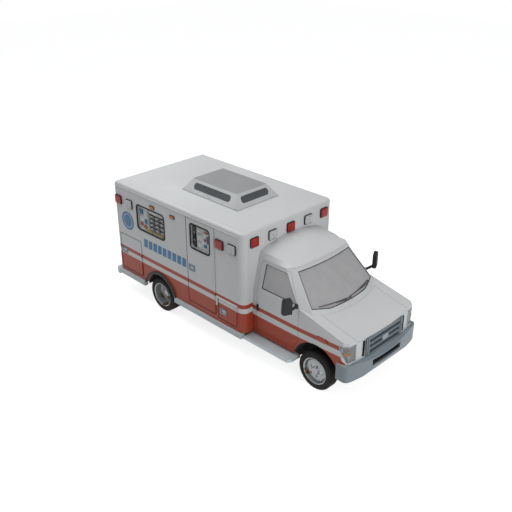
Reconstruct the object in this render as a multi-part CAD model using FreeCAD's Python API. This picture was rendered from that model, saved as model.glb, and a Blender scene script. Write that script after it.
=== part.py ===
import FreeCAD, Part
import math
import os

# A van-chassis ambulance: a cutaway cab with a box module behind it, in millimetres.
# The modelling coordinates start under the front axle, with +X forward, +Y to the vehicle's
# left and +Z up. Heights are measured from a datum axle_z below the axles, which is the ground
# on the standard tyre. write() moves everything to the centre of the footprint, and lifts it
# so that a tyre of any size stands on the ground.

# ---------------------------------------------------------------- driving dimensions
# Overall lengths
wheelbase = 4013.0
front_overhang = 815.0
cab_rear_from_axle = 1544.0
module_overhang = 1370.0
step_depth = 140.0

# Module: the box behind the cab
module_width = 2440.0
wall = 60.0
skirt_z = 520.0
floor_z = 850.0
floor_thickness = 50.0
wall_top_z = 2490.0
roof_thickness = 70.0
roof_edge_radius = 60.0
front_corner_radius = 130.0
rear_corner_radius = 20.0

# Clearances
door_gap = 6.0
running_fit = 0.05
skin_gap = 0.3
hinge_radius = 9.0

# Wheels
axle_z = 372.0
tyre_radius = 372.0
tyre_width = 223.0
rim_radius = 250.0
rim_wall = 9.0
front_track = 1788.0
rear_outer_track = 2178.0
twin_spacing = 265.0
kingpin_y = 775.0
spindle_radius = 28.0
axle_end_radius = 40.0
kingpin_radius = 14.0
hand_hole_count = 5
hand_hole_radius = 19.0
hand_hole_circle = 112.0
front_arch_room = 168.0
rear_arch_room = 108.0
board_room = 53.0
flare_width = 45.0

# Chassis
rail_outer_y = 432.0
rail_width = 65.0
rail_setback = 65.0
rail_bottom_z = 500.0
rail_top_z = 680.0
crossmember_width = 70.0
high_cross_z = 600.0
engine_z = 560.0
board_top_z = 470.0
radiator_top_z = 1120.0

# Cab
cab_half_width = 985.0
belt_lean = 20.0
roof_lean = 140.0
belt_z = 1430.0
greenhouse_top_z = 2020.0
cab_bottom_z = 500.0
cab_floor_z = 740.0
cab_skin = 70.0
panel = 32.0
nose_x = 705.0
hood_front_z = 1185.0
hood_side_inset = 245.0
hood_rear_x = -90.0
firewall_x = -200.0
glass = 8.0
door_front_x = -430.0
door_rear_x = -1455.0
door_bottom_z = 600.0
door_top_z = 1985.0
bumper_rear_x = 470.0
bumper_top_z = 790.0
radiator_half_width = 608.0

# ---------------------------------------------------------------- derived places
hood_half_width = cab_half_width - hood_side_inset
rear_axle_x = -wheelbase
front_arch_radius = tyre_radius + front_arch_room
rear_arch_radius = tyre_radius + rear_arch_room
door_arch_radius = front_arch_radius + 45.0
belt_half_width = cab_half_width - belt_lean
roof_half_width = belt_half_width - roof_lean
door_inner_y = roof_half_width - 125.0
beyond = 2000.0
module_front_x = -cab_rear_from_axle
module_rear_x = rear_axle_x - module_overhang
step_rear_x = module_rear_x - step_depth
half_width = module_width / 2.0
floor_top_z = floor_z + floor_thickness
roof_top_z = wall_top_z + roof_thickness
footprint_centre_x = (front_overhang + step_rear_x) / 2.0
rail_front_x = nose_x - rail_setback
rail_rear_x = module_rear_x + wall
rail_inner_y = rail_outer_y - rail_width
front_wheel_y = front_track / 2.0
rear_outer_y = rear_outer_track / 2.0
rear_inner_y = rear_outer_y - twin_spacing
side_seam_x = module_front_x - front_corner_radius
board_outer_y = half_width - 20.0
rear_seam_x = module_rear_x + wall

# Doors and windows in the module's sides: (front x, rear x, bottom z, top z)
side_door = (module_front_x - 766.0, module_front_x - 1556.0, 640.0, 2450.0)
side_door_window = (side_door[0] - 140.0, side_door[0] - 665.0, 1850.0, 2340.0)
fixed_window = (rear_axle_x + 228.0, rear_axle_x - 637.0, 1710.0, 2230.0)
front_locker = (module_front_x - 186.0, module_front_x - 686.0, 600.0, 1040.0)
tall_locker = (module_front_x - 186.0, module_front_x - 686.0, 600.0, 2060.0)
rear_locker = (module_rear_x + 783.0, module_rear_x + 75.0, 600.0, 1405.0)
# Lockers: (name, side, shape); side -1 is the right
lockers = (
    ("right_front_locker", -1, front_locker),
    ("right_rear_locker", -1, rear_locker),
    ("left_front_locker", 1, tall_locker),
    ("left_rear_locker", 1, rear_locker),
)
locker_depth = 360.0
locker_wall = 12.0
window_radius = 90.0

# Rear doors
rear_door_half = 640.0
rear_door_bottom_z = 880.0
rear_door_top_z = 2250.0
rear_window = (150.0, 510.0, 1560.0, 2090.0)
rear_window_radius = 70.0

# Holes for a number plate and for the stretcher's fastener
plate_hole_spacing = 177.8
plate_hole_radius = 3.2
fastener_x = -2880.0
fastener_spacing_x = 300.0
fastener_spacing_y = 120.0
fastener_hole_radius = 5.5

vec = FreeCAD.Vector


# ---------------------------------------------------------------- shape helpers
def box(x0, x1, y0, y1, z0, z1):
    """A box between two corners, given in either order."""
    low = vec(min(x0, x1), min(y0, y1), min(z0, z1))
    return Part.makeBox(abs(x1 - x0), abs(y1 - y0), abs(z1 - z0), low)


def prism(points, axis, start, end):
    """An outline extruded along one axis: points are the other two coordinates in order."""
    places = {
        "x": lambda a, b: vec(start, a, b),
        "y": lambda a, b: vec(a, start, b),
        "z": lambda a, b: vec(a, b, start),
    }
    along = {"x": vec(end - start, 0, 0), "y": vec(0, end - start, 0), "z": vec(0, 0, end - start)}
    corners = [places[axis](a, b) for a, b in points]
    outline = Part.makePolygon(corners + corners[:1])
    return Part.Face(outline).extrude(along[axis])


def rod(radius, start, end):
    """A round bar between two points."""
    run = end.sub(start)
    return Part.makeCylinder(radius, run.Length, start, run)


def both_sides(shape):
    """The shape and its mirror image on the other side of the vehicle."""
    return [shape, mirrored(shape)]


def mirrored(shape):
    return shape.mirror(vec(0, 0, 0), vec(0, 1, 0))


def joined(shapes):
    """One shape from several that touch or overlap."""
    result = shapes[0].fuse(shapes[1:]) if len(shapes) > 1 else shapes[0]
    return result.removeSplitter()


def inset_outline(points, gap):
    """A closed outline moved inwards by gap along every side."""
    count = len(points)
    area = sum(points[i][0] * points[(i + 1) % count][1] - points[(i + 1) % count][0] * points[i][1]
               for i in range(count))
    turn = 1.0 if area > 0 else -1.0
    sides = []
    for i in range(count):
        (ax, az), (bx, bz) = points[i], points[(i + 1) % count]
        length = math.hypot(bx - ax, bz - az)
        nx, nz = -(bz - az) / length * turn, (bx - ax) / length * turn
        sides.append((nx, nz, nx * ax + nz * az + gap))
    moved = []
    for i in range(count):
        (a, b, c), (d, e, f) = sides[i - 1], sides[i]
        det = a * e - b * d
        moved.append(((c * e - b * f) / det, (a * f - c * d) / det))
    return moved


def edges_along(shape, axis):
    """The straight edges of a block that run along one axis."""
    return [e for e in shape.Edges if abs(getattr(e.tangentAt(e.FirstParameter), axis)) > 0.9]


def rounded(block, axis, radius):
    """A block whose edges along one axis are rounded."""
    return block.makeFillet(radius, edges_along(block, axis))


def write(name, shapes):
    """Save one node: its solids, moved to the centre of the footprint."""
    solids = []
    for shape in shapes:
        solids.extend(shape.Solids)
    whole = solids[0] if len(solids) == 1 else Part.makeCompound(solids)
    whole = whole.copy()
    whole.translate(vec(-footprint_centre_x, 0, tyre_radius - axle_z))
    whole.exportStep(os.path.join("parts", name + ".step"))


# ---------------------------------------------------------------- chassis
def frame_rails():
    """The two box rails that everything else stands on."""
    return both_sides(box(rail_front_x, rail_rear_x, rail_inner_y, rail_outer_y, rail_bottom_z, rail_top_z))


def frame_crossmembers():
    """Crossmembers, floor risers and brackets: each meets the rails face to face and no other."""
    half = crossmember_width / 2.0
    # Crossmembers: centre x, half length, bottom z, top z
    crossmembers = (
        (600.0, rail_inner_y, rail_bottom_z, engine_z),
        (200.0, rail_inner_y, rail_bottom_z, engine_z),
        (-720.0, rail_outer_y, rail_bottom_z - 60.0, rail_bottom_z),
        (-1500.0, rail_inner_y, high_cross_z, rail_top_z),
        (-2450.0, rail_inner_y, high_cross_z, rail_top_z),
        (-3250.0, rail_inner_y, high_cross_z, rail_top_z),
        (rear_axle_x - 600.0, rail_inner_y, high_cross_z, rail_top_z),
        (rail_rear_x + half, rail_inner_y, high_cross_z, rail_top_z),
    )
    pieces = [box(x - half, x + half, -reach, reach, low, high) for x, reach, low, high in crossmembers]
    # Risers that lift the module floor above the rails
    riser_x = (module_front_x - 140.0, -2330.0, -3130.0, rear_axle_x, rear_axle_x - 480.0,
               module_rear_x + 200.0)
    for x in riser_x:
        pieces.append(box(x - 40.0, x + 40.0, -650.0, 650.0, rail_top_z, floor_z))
    # Brackets: front x, rear x, inner y, outer y, bottom z, top z
    brackets = (
        (rear_axle_x + 685.0, rear_axle_x + 595.0, rail_outer_y, 545.0, 470.0, 620.0),
        (rear_axle_x - 595.0, rear_axle_x - 685.0, rail_outer_y, 545.0, 470.0, 620.0),
        (80.0, -80.0, rail_outer_y, 590.0, high_cross_z, 650.0),
        (-595.0, -645.0, rail_inner_y, cab_half_width - 50.0, board_top_z, rail_bottom_z),
        (-1375.0, -1425.0, rail_inner_y, cab_half_width - 50.0, board_top_z, rail_bottom_z),
        (rail_front_x, 560.0, rail_outer_y, 470.0, 560.0, 660.0),
    )
    for front, rear, inner, outer, low, high in brackets:
        pieces.extend(both_sides(box(rear, front, inner, outer, low, high)))
    # Radiator support behind the grille
    half = radiator_half_width
    posts = [box(rail_front_x - 60.0, rail_front_x, side * half, side * rail_inner_y, rail_top_z, radiator_top_z)
             for side in (-1, 1)]
    screen = box(rail_front_x - 50.0, rail_front_x - 10.0, -half, half, rail_top_z, radiator_top_z)
    pieces.append(joined(posts + [screen]))
    return pieces


def engine_block():
    """The engine and its gearbox, resting on their crossmembers."""
    block = box(-150.0, 470.0, -270.0, 270.0, engine_z, 1040.0)
    gearbox = box(-900.0, -150.0, -170.0, 170.0, rail_bottom_z, rail_top_z - 6.0)
    return [joined([block, gearbox])]


def front_axle():
    beam_low, beam_high = axle_z - 30.0, axle_z + 30.0
    beam = box(-28.0, 28.0, -kingpin_y, kingpin_y, beam_low, beam_high)
    pieces = [beam]
    for side in (-1, 1):
        centre = vec(0, side * kingpin_y, 0)
        pieces.append(rod(30.0, centre + vec(0, 0, axle_z - 40.0), centre + vec(0, 0, axle_z + 40.0)))
        pieces.append(rod(kingpin_radius, centre + vec(0, 0, axle_z - 75.0), centre + vec(0, 0, axle_z + 75.0)))
        spring_foot = vec(0, side * 525.0, beam_high)
        pieces.append(rod(48.0, spring_foot, vec(0, side * 525.0, 600.0)))
    return [joined(pieces)]


def knuckle(side):
    """The steered carrier of a front wheel: two ears round the kingpin, a web and a spindle."""
    ear_radius = 30.0
    centre = vec(0, side * kingpin_y, 0)
    web_y = kingpin_y + 42.0
    pieces = []
    for low in (axle_z - 66.0, axle_z + 46.0):
        ear = rod(ear_radius, centre + vec(0, 0, low), centre + vec(0, 0, low + 20.0))
        lug = box(-ear_radius, ear_radius, side * kingpin_y, side * web_y, low, low + 20.0)
        pieces.extend([ear, lug])
    pieces.append(box(-40.0, 40.0, side * web_y, side * (web_y + 22.0), axle_z - 66.0, axle_z + 66.0))
    pieces.append(rod(spindle_radius, vec(0, side * (web_y + 10.0), axle_z),
                      vec(0, side * (front_wheel_y + 85.0), axle_z)))
    body = joined(pieces)
    bore = rod(kingpin_radius + running_fit, centre, centre + vec(0, 0, 2.0 * axle_z))
    return [body.cut(bore)]


def rear_axle():
    tube_end_y = rear_inner_y - tyre_width / 2.0 - 20.0
    pieces = [rod(50.0, vec(rear_axle_x, -tube_end_y, axle_z), vec(rear_axle_x, tube_end_y, axle_z))]
    end_y = rear_outer_y - 20.0
    pieces.append(rod(axle_end_radius, vec(rear_axle_x, -end_y, axle_z), vec(rear_axle_x, end_y, axle_z)))
    pieces.append(rod(150.0, vec(rear_axle_x - 70.0, 0, axle_z), vec(rear_axle_x + 110.0, 0, axle_z)))
    pieces.append(rod(45.0, vec(rear_axle_x + 100.0, 0, axle_z), vec(-903.0, 0, 560.0)))
    for side in (-1, 1):
        pieces.append(leaf_spring(side * 505.0))
        pieces.append(box(rear_axle_x - 60.0, rear_axle_x + 60.0, side * 465.0, side * 545.0,
                          axle_z, axle_z + 75.0))
    return [joined(pieces)]


def leaf_spring(centre_y):
    """An arched pack of leaves over the axle, between its two frame brackets."""
    reach, rise, thickness, width = 640.0, 70.0, 36.0, 64.0
    low_z = axle_z + 62.0
    ends_z = low_z + rise
    y = centre_y - width / 2.0

    def arch(offset):
        return Part.Arc(vec(rear_axle_x - reach, y, ends_z + offset),
                        vec(rear_axle_x, y, low_z + offset),
                        vec(rear_axle_x + reach, y, ends_z + offset)).toShape()

    lower, upper = arch(0.0), arch(thickness)
    ends = [Part.LineSegment(lower.Vertexes[i].Point, upper.Vertexes[i].Point).toShape() for i in (0, 1)]
    outline = Part.Wire(Part.__sortEdges__([lower, ends[1], upper, ends[0]]))
    leaf = Part.Face(outline).extrude(vec(0, width, 0))
    trim = box(rear_axle_x - reach + 45.0, rear_axle_x + reach - 45.0, y - 1.0, y + width + 1.0, 0, 900.0)
    return leaf.common(trim)


def fuel_tank():
    tank_bottom_z = 380.0
    tank = box(module_rear_x + 180.0, module_rear_x + 520.0, -rail_inner_y, rail_inner_y, tank_bottom_z,
               rail_bottom_z + 60.0)
    lower = [e for e in tank.Edges if abs(e.CenterOfMass.z - tank_bottom_z) < 1.0]
    return [tank.makeFillet(40.0, lower)]


def exhaust_pipe():
    """From the engine's back along the right rail, through the silencer, out behind the wheel."""
    pipe_radius = 32.0
    y = -270.0
    high_z, low_z = 540.0, 440.0
    turn_x = module_rear_x + 610.0
    silencer = box(-2750.0, -2200.0, y - 80.0, y + 70.0, high_cross_z - 130.0, high_cross_z)
    route = [vec(-150.0, y + 35.0, 620.0), vec(-500.0, y, high_z), vec(turn_x + 150.0, y, high_z),
             vec(turn_x, y, low_z), vec(turn_x - 30.0, -560.0, low_z), vec(turn_x - 30.0, -1130.0, low_z - 10.0)]
    pieces = [silencer]
    for start, end in zip(route, route[1:]):
        pieces.append(rod(pipe_radius, start, end))
    for corner in route[1:-1]:
        pieces.append(Part.makeSphere(pipe_radius + 2.0, corner))
    return [joined(pieces)]


# ---------------------------------------------------------------- wheels
def revolved(profile, wheel_y, wheel_x, side):
    """A ring round a wheel's axle. The profile holds (radius, distance outboard of centre)."""
    points = [vec(wheel_x + radius, side * (wheel_y + out), axle_z) for radius, out in profile]
    face = Part.Face(Part.makePolygon(points + points[:1]))
    return face.revolve(vec(wheel_x, 0, axle_z), vec(0, 1, 0), 360.0)


def tyre(wheel_x, wheel_y, side):
    half = tyre_width / 2.0
    bead = rim_radius + skin_gap
    profile = [(bead, -half + 22.0), (bead + 14.0, -half + 10.0), (bead + 50.0, -half),
               (tyre_radius - 34.0, -half + 4.0), (tyre_radius - 10.0, -half + 18.0),
               (tyre_radius, -half + 36.0), (tyre_radius, half - 36.0),
               (tyre_radius - 10.0, half - 18.0), (tyre_radius - 34.0, half - 4.0),
               (bead + 50.0, half), (bead + 14.0, half - 10.0), (bead, half - 22.0)]
    return revolved(profile, wheel_y, wheel_x, side)


def barrel(wheel_x, wheel_y, side):
    """The rim's hoop, with a lip at each edge that holds the tyre's bead."""
    half = tyre_width / 2.0
    inner = rim_radius - rim_wall
    profile = [(inner, -half + 14.0), (rim_radius + 9.0, -half + 4.0), (rim_radius + 9.0, -half + 12.0),
               (rim_radius, -half + 21.0), (rim_radius, half - 21.0), (rim_radius + 9.0, half - 12.0),
               (rim_radius + 9.0, half - 4.0), (inner, half - 14.0)]
    return revolved(profile, wheel_y, wheel_x, side)


def disc(wheel_x, wheel_y, side, profile, bore_radius):
    """A wheel's pressed centre with its ring of round hand holes and its bore."""
    plate = revolved(profile, wheel_y, wheel_x, side)
    for index in range(hand_hole_count):
        angle = 2.0 * math.pi * index / hand_hole_count
        x = wheel_x + hand_hole_circle * math.cos(angle)
        z = axle_z + hand_hole_circle * math.sin(angle)
        plate = plate.cut(rod(hand_hole_radius, vec(x, -beyond, z), vec(x, beyond, z)))
    bore = rod(bore_radius, vec(wheel_x, -beyond, axle_z), vec(wheel_x, beyond, axle_z))
    return plate.cut(bore)


def front_rim(side):
    inner = rim_radius - rim_wall + 1.0
    profile = [(inner, 30.0), (inner, 44.0), (205.0, 66.0), (150.0, 80.0), (78.0, 84.0), (66.0, 112.0),
               (34.0, 116.0), (1.0, 116.0), (1.0, -8.0), (58.0, -8.0), (62.0, 66.0), (150.0, 66.0),
               (200.0, 52.0)]
    plate = disc(0.0, front_wheel_y, side, profile, spindle_radius + running_fit)
    cap = rod(34.0, vec(0, side * (front_wheel_y + 96.0), axle_z), vec(0, side * (front_wheel_y + 116.0), axle_z))
    return [joined([barrel(0.0, front_wheel_y, side), plate, cap])]


def rear_rims(side):
    inner = rim_radius - rim_wall + 1.0
    bore = axle_end_radius + running_fit
    profile = [(inner, -60.0), (inner, -46.0), (200.0, -66.0), (150.0, -78.0), (92.0, -80.0), (80.0, -20.0),
               (60.0, -12.0), (1.0, -12.0), (1.0, -twin_spacing + 40.0), (88.0, -twin_spacing + 40.0),
               (92.0, -94.0), (150.0, -92.0), (205.0, -82.0)]
    outer = disc(rear_axle_x, rear_outer_y, side, profile, bore)
    inner_profile = [(inner, 60.0), (inner, 46.0), (200.0, 66.0), (150.0, 78.0), (85.0, 80.0),
                     (85.0, 94.0), (150.0, 92.0), (205.0, 82.0)]
    inner_disc = revolved(inner_profile, rear_inner_y, rear_axle_x, side)
    hub_cap = rod(60.0, vec(rear_axle_x, side * (rear_outer_y + 6.0), axle_z),
                  vec(rear_axle_x, side * (rear_outer_y - 14.0), axle_z))
    hoops = [barrel(rear_axle_x, y, side) for y in (rear_outer_y, rear_inner_y)]
    return [joined([hoops[0], outer, hub_cap, inner_disc, hoops[1]])]


# ---------------------------------------------------------------- cab body
def lower_body(inset, open_from=None):
    """The cab below the belt, moved inwards by inset; open_from opens its top behind that x."""
    low = cab_bottom_z if inset == 0 else cab_bottom_z - 200.0
    side = cab_half_width - inset
    section = [(-side, low), (-side, 1100.0), (-(belt_half_width - inset), belt_z),
               (-(belt_half_width - inset), 1700.0), (belt_half_width - inset, 1700.0),
               (belt_half_width - inset, belt_z), (side, 1100.0), (side, low)]
    rear = module_front_x if inset == 0 else module_front_x - 100.0
    corner_x, corner_y = nose_x - 50.0 - inset, cab_half_width - 80.0 - inset
    front_arc = Part.Arc(vec(corner_x, -corner_y, low), vec(nose_x + 10.0 - inset, 0, low),
                         vec(corner_x, corner_y, low)).toShape()
    side_front_x = nose_x - 140.0 - inset
    corners = [vec(corner_x, corner_y, low), vec(side_front_x, side, low), vec(rear, side, low),
               vec(rear, -side, low), vec(side_front_x, -side, low), vec(corner_x, -corner_y, low)]
    plan = Part.Face(Part.Wire([front_arc] + Part.makePolygon(corners).Edges))
    plan_solid = plan.extrude(vec(0, 0, 2000.0))
    top = belt_z - inset
    front_top = hood_front_z - inset
    if open_from is None:
        roof_line = [(rear, top), (-400.0, top)]
    else:
        roof_line = [(rear, 1700.0), (open_from, 1700.0), (open_from, hood_line_z(open_from) - inset)]
    profile = [(rear, low)] + roof_line + [(nose_x + 20.0, front_top - 4.0), (nose_x + 20.0, low)]
    return prism(section, "x", rear, 900.0).common(plan_solid).common(prism(profile, "y", -beyond, beyond))


def hood_line_z(x):
    """Height of the hood and shoulder line in the side view."""
    slope = (belt_z - hood_front_z) / (nose_x + 400.0)
    return belt_z - slope * (x + 400.0)


def greenhouse_section(z, side_y, pillar_outer_x, corner, front_x, inset, rear_x):
    """A plan outline of the cab's glasshouse at one height: four lines, two pillars and an arc."""
    lean = 1.35 * inset
    side = side_y - inset
    pillar_x = pillar_outer_x - lean
    corner_x, corner_y = corner[0] - lean, corner[1] - inset
    front = Part.Arc(vec(corner_x, -corner_y, z), vec(front_x - lean, 0, z), vec(corner_x, corner_y, z)).toShape()
    corners = [vec(corner_x, corner_y, z), vec(pillar_x, side, z), vec(rear_x, side, z),
               vec(rear_x, -side, z), vec(pillar_x, -side, z), vec(corner_x, -corner_y, z)]
    return Part.Wire([front] + Part.makePolygon(corners).Edges)


# height, side y, pillar's outer x, pillar's inner corner, front x at the centre
greenhouse_top = (greenhouse_top_z, roof_half_width, -880.0, (-758.0, roof_half_width - 109.0), -700.0)


def greenhouse(inset):
    """The cab above the belt, moved inwards by inset and open at the back when inset."""
    rear_x = module_front_x if inset == 0 else module_front_x - 100.0
    cowl_z = belt_z - 100.0
    # height, side y, pillar's outer x, pillar's inner corner, front x at the centre
    sections = (
        (cowl_z, belt_half_width - 10.0, -360.0, (-142.0, belt_half_width - 73.0), 0.0),
        (belt_z, belt_half_width, -440.0, (-231.0, belt_half_width - 98.0), -100.0),
        greenhouse_top,
    )
    wires = [greenhouse_section(*row, inset, rear_x) for row in sections]
    if inset:
        top = wires[-1].copy()
        top.translate(vec(0, 0, 60.0))
        base = wires[0].copy()
        base.translate(vec(0, 0, -60.0))
        wires = [base] + wires + [top]
    return Part.makeLoft(wires, True, True)


def roof_loft(inset):
    """The cab roof, from the windshield header up to the module's front wall."""
    # x, half width at the base, half width at the shoulder, shoulder z, crown z
    sections = (
        (module_front_x - (100.0 if inset else 0.0), roof_half_width, roof_half_width - 40.0, 2125.0, 2242.0),
        (-1080.0, roof_half_width, roof_half_width - 55.0, 2090.0, 2170.0),
        (-690.0, roof_half_width - 25.0, roof_half_width - 135.0, 2030.0, 2052.0),
    )
    wires = []
    base_z = greenhouse_top_z - (60.0 if inset else 0.0)
    for x, base, shoulder, shoulder_z, crown_z in sections:
        base, shoulder = base - inset, shoulder - inset
        crown = Part.Arc(vec(x, -shoulder, shoulder_z - inset), vec(x, 0, crown_z - inset),
                         vec(x, shoulder, shoulder_z - inset)).toShape()
        corners = [vec(x, shoulder, shoulder_z - inset), vec(x, base, base_z), vec(x, -base, base_z),
                   vec(x, -shoulder, shoulder_z - inset)]
        wires.append(Part.Wire([crown] + Part.makePolygon(corners).Edges))
    return Part.makeLoft(wires, True, True)


def cab_roof():
    """The roof panel, trimmed to the glasshouse's outline."""
    outline = Part.Face(greenhouse_section(*greenhouse_top, 0.0, module_front_x)).extrude(vec(0, 0, 400.0))
    outer = roof_loft(0.0).common(outline)
    inner_row = Part.Face(greenhouse_section(*greenhouse_top, cab_skin, module_front_x - 100.0))
    inner_row = inner_row.extrude(vec(0, 0, 400.0))
    inner_row.translate(vec(0, 0, -60.0))
    inner = roof_loft(45.0).common(inner_row)
    return [outer.cut(inner)]


def door_outline():
    """The cab door's edge in the side view, before its clearance."""
    return [(door_front_x, door_bottom_z), (door_front_x, belt_z), (-800.0, door_top_z),
            (door_rear_x + 40.0, door_top_z), (door_rear_x, door_top_z - 60.0), (door_rear_x, door_bottom_z)]


def door_window_outline():
    """The cab door's window in the side view."""
    return [(-492.0, belt_z + 50.0), (-828.0, 1945.0), (-1338.0, 1945.0), (-1348.0, belt_z + 50.0)]


def arch_drum(radius, centre_x, y0, y1):
    return rod(radius, vec(centre_x, y0, axle_z), vec(centre_x, y1, axle_z))


def windshield_prism():
    foot_y, head_y = belt_half_width - 123.0, roof_half_width - 119.0
    outline = [(-foot_y, 1452.0), (-head_y, 1968.0), (head_y, 1968.0), (foot_y, 1452.0), (500.0, 1392.0),
               (-500.0, 1392.0)]
    return prism(outline, "x", -960.0, 100.0)


def cab_shell():
    """Floor, firewall, cowl, pillars, sills and rear frame of the cab, in one piece."""
    upper = greenhouse(0.0).cut(greenhouse(cab_skin)).cut(windshield_prism())
    rear_part = box(-beyond, door_front_x, -beyond, beyond, 0, 3000.0)
    rear_part = rear_part.cut(arch_drum(door_arch_radius, 0.0, -beyond, beyond))
    lower = lower_body(0.0).cut(lower_body(cab_skin, firewall_x)).common(rear_part)
    door = prism(door_outline(), "y", door_inner_y, beyond)
    shell = upper.fuse(lower)
    for cutter in both_sides(door):
        shell = shell.cut(cutter)
    floor_half = cab_half_width - cab_skin - door_gap
    floor = box(module_front_x, firewall_x, -floor_half, floor_half, rail_top_z, cab_floor_z)
    firewall = box(firewall_x - 50.0, firewall_x, -floor_half, floor_half, rail_top_z, belt_z - 100.0)
    shelf_half = cab_half_width - 125.0
    shelf = box(firewall_x - 50.0, hood_rear_x - 10.0, -shelf_half, shelf_half, belt_z - 150.0, belt_z - 100.0)
    sill_posts = []
    for side in (-1, 1):
        sill_posts.append(box(module_front_x, -640.0, side * (floor_half - 60.0), side * (floor_half + 10.0),
                              cab_bottom_z, door_bottom_z - door_gap))
        sill_posts.append(box(module_front_x, -640.0, side * (floor_half - 60.0), side * (floor_half - 20.0),
                              cab_bottom_z, rail_top_z + 10.0))
    cowl = lower_body(0.0).cut(lower_body(panel)).common(cowl_region()).cut(greenhouse(0.0))
    inner_arch = arch_drum(front_arch_radius, 0.0, -beyond, -floor_half + 330.0)
    whole = joined([shell, floor, firewall, shelf, cowl] + sill_posts)
    for cutter in both_sides(inner_arch):
        whole = whole.cut(cutter)
    return [whole]


def hood_plan(grow):
    """The hood's plan: straight sides and front, and a rear edge bowed like the glass."""
    half = hood_half_width + grow
    rear_x = hood_rear_x - grow
    rear = Part.Arc(vec(rear_x, -half, 0), vec(rear_x + 125.0, 0, 0), vec(rear_x, half, 0)).toShape()
    corners = [vec(rear_x, half, 0), vec(900.0, half, 0), vec(900.0, -half, 0), vec(rear_x, -half, 0)]
    return Part.Face(Part.Wire([rear] + Part.makePolygon(corners).Edges)).extrude(vec(0, 0, 1800.0))


def cowl_region():
    half = hood_half_width + door_gap
    block = box(-450.0, 200.0, -half, half, 1200.0, 1600.0)
    return block.cut(hood_plan(door_gap))


hood_lip_z = 1168.0


def hood():
    """The hood with its two hinge pins, whose ends run in the wings' inner edges."""
    skin = lower_body(0.0).cut(lower_body(40.0))
    upper_part = box(-200.0, 900.0, -hood_half_width, hood_half_width, hood_lip_z, 1800.0)
    panel_part = skin.common(hood_plan(0.0)).common(upper_part)
    pin_x = hood_rear_x + 6.0
    pin_z = hood_line_z(pin_x) - 4.0
    pins = [rod(3.5, vec(pin_x, side * (hood_half_width - 10.0), pin_z),
                vec(pin_x, side * (hood_half_width + door_gap - skin_gap), pin_z)) for side in (-1, 1)]
    return [joined([panel_part] + pins)]


# Headlight: inner edge y, rear edge x, bottom z, top z
headlight_inner_y = hood_half_width + 22.0
headlight_rear_x = 470.0
headlight_bottom_z = bumper_top_z + 26.0
headlight_top_z = 1150.0


def headlight_block():
    outline = [(headlight_rear_x, headlight_top_z - 14.0), (900.0, headlight_top_z), (900.0, headlight_bottom_z),
               (headlight_rear_x + 155.0, headlight_bottom_z)]
    return prism(outline, "y", headlight_inner_y, beyond)


def headlights():
    lens = lower_body(0.0).cut(lower_body(90.0)).common(headlight_block())
    return both_sides(lens)


def front_fenders():
    """Both front wings, with their wheel arches and the corners round the headlights."""
    skin = lower_body(0.0).cut(lower_body(panel))
    region = box(door_front_x - 130.0, 900.0, hood_half_width + door_gap, beyond, cab_bottom_z, 1800.0)
    door = prism(door_outline(), "y", 0.0, beyond)
    strip = arch_drum(door_arch_radius, 0.0, 0.0, beyond)
    door_side = box(-beyond, door_front_x, 0.0, beyond, 0, 3000.0)
    wing = skin.common(region).cut(door.cut(strip)).cut(door_side.cut(strip))
    wing = wing.cut(arch_drum(front_arch_radius, 0.0, 0.0, beyond)).cut(greenhouse(0.0))
    wing = wing.cut(headlight_block()).cut(bumper_keep_out())
    return both_sides(wing)


def bumper_keep_out():
    return box(bumper_rear_x - 6.0, 900.0, 0.0, beyond, 0.0, bumper_top_z)


# Grille: half widths at its foot and head, its frame's rails and columns
grille_top_z = hood_lip_z - 18.0
grille_bottom_z = bumper_top_z + 12.0
grille_foot_half = 516.0
grille_head_half = 530.0
grille_rail = 17.0
grille_column = 84.0
slot_gap = 18.0
slot_width = 46.0


def grille_outline(rail, column):
    """The grille's edge, seen from the front, moved in by its rails and columns: wider at the top."""
    foot, head = grille_foot_half - column, grille_head_half - column
    low, high = grille_bottom_z + rail, grille_top_z - rail
    return [(-foot, low), (-head, high), (head, high), (foot, low)]


def header_panel():
    """The painted nose round the grille, between the wings and under the hood's lip."""
    half = hood_half_width + door_gap
    skin = lower_body(0.0).cut(lower_body(45.0))
    region = box(560.0, 900.0, -half, half, bumper_top_z, hood_lip_z - door_gap)
    nose = skin.common(region).cut(prism(grille_outline(0.0, 0.0), "x", 500.0, 900.0))
    slot_inner = grille_head_half + slot_gap
    for side in (-1, 1):
        nose = nose.cut(box(500.0, 900.0, side * slot_inner, side * (slot_inner + slot_width),
                            grille_bottom_z + 24.0, grille_top_z - 14.0))
    stays = [box(rail_front_x, nose_x - 40.0, side * (radiator_half_width - 24.0), side * radiator_half_width,
                 900.0, 1080.0) for side in (-1, 1)]
    return [joined([nose] + stays)]


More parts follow.
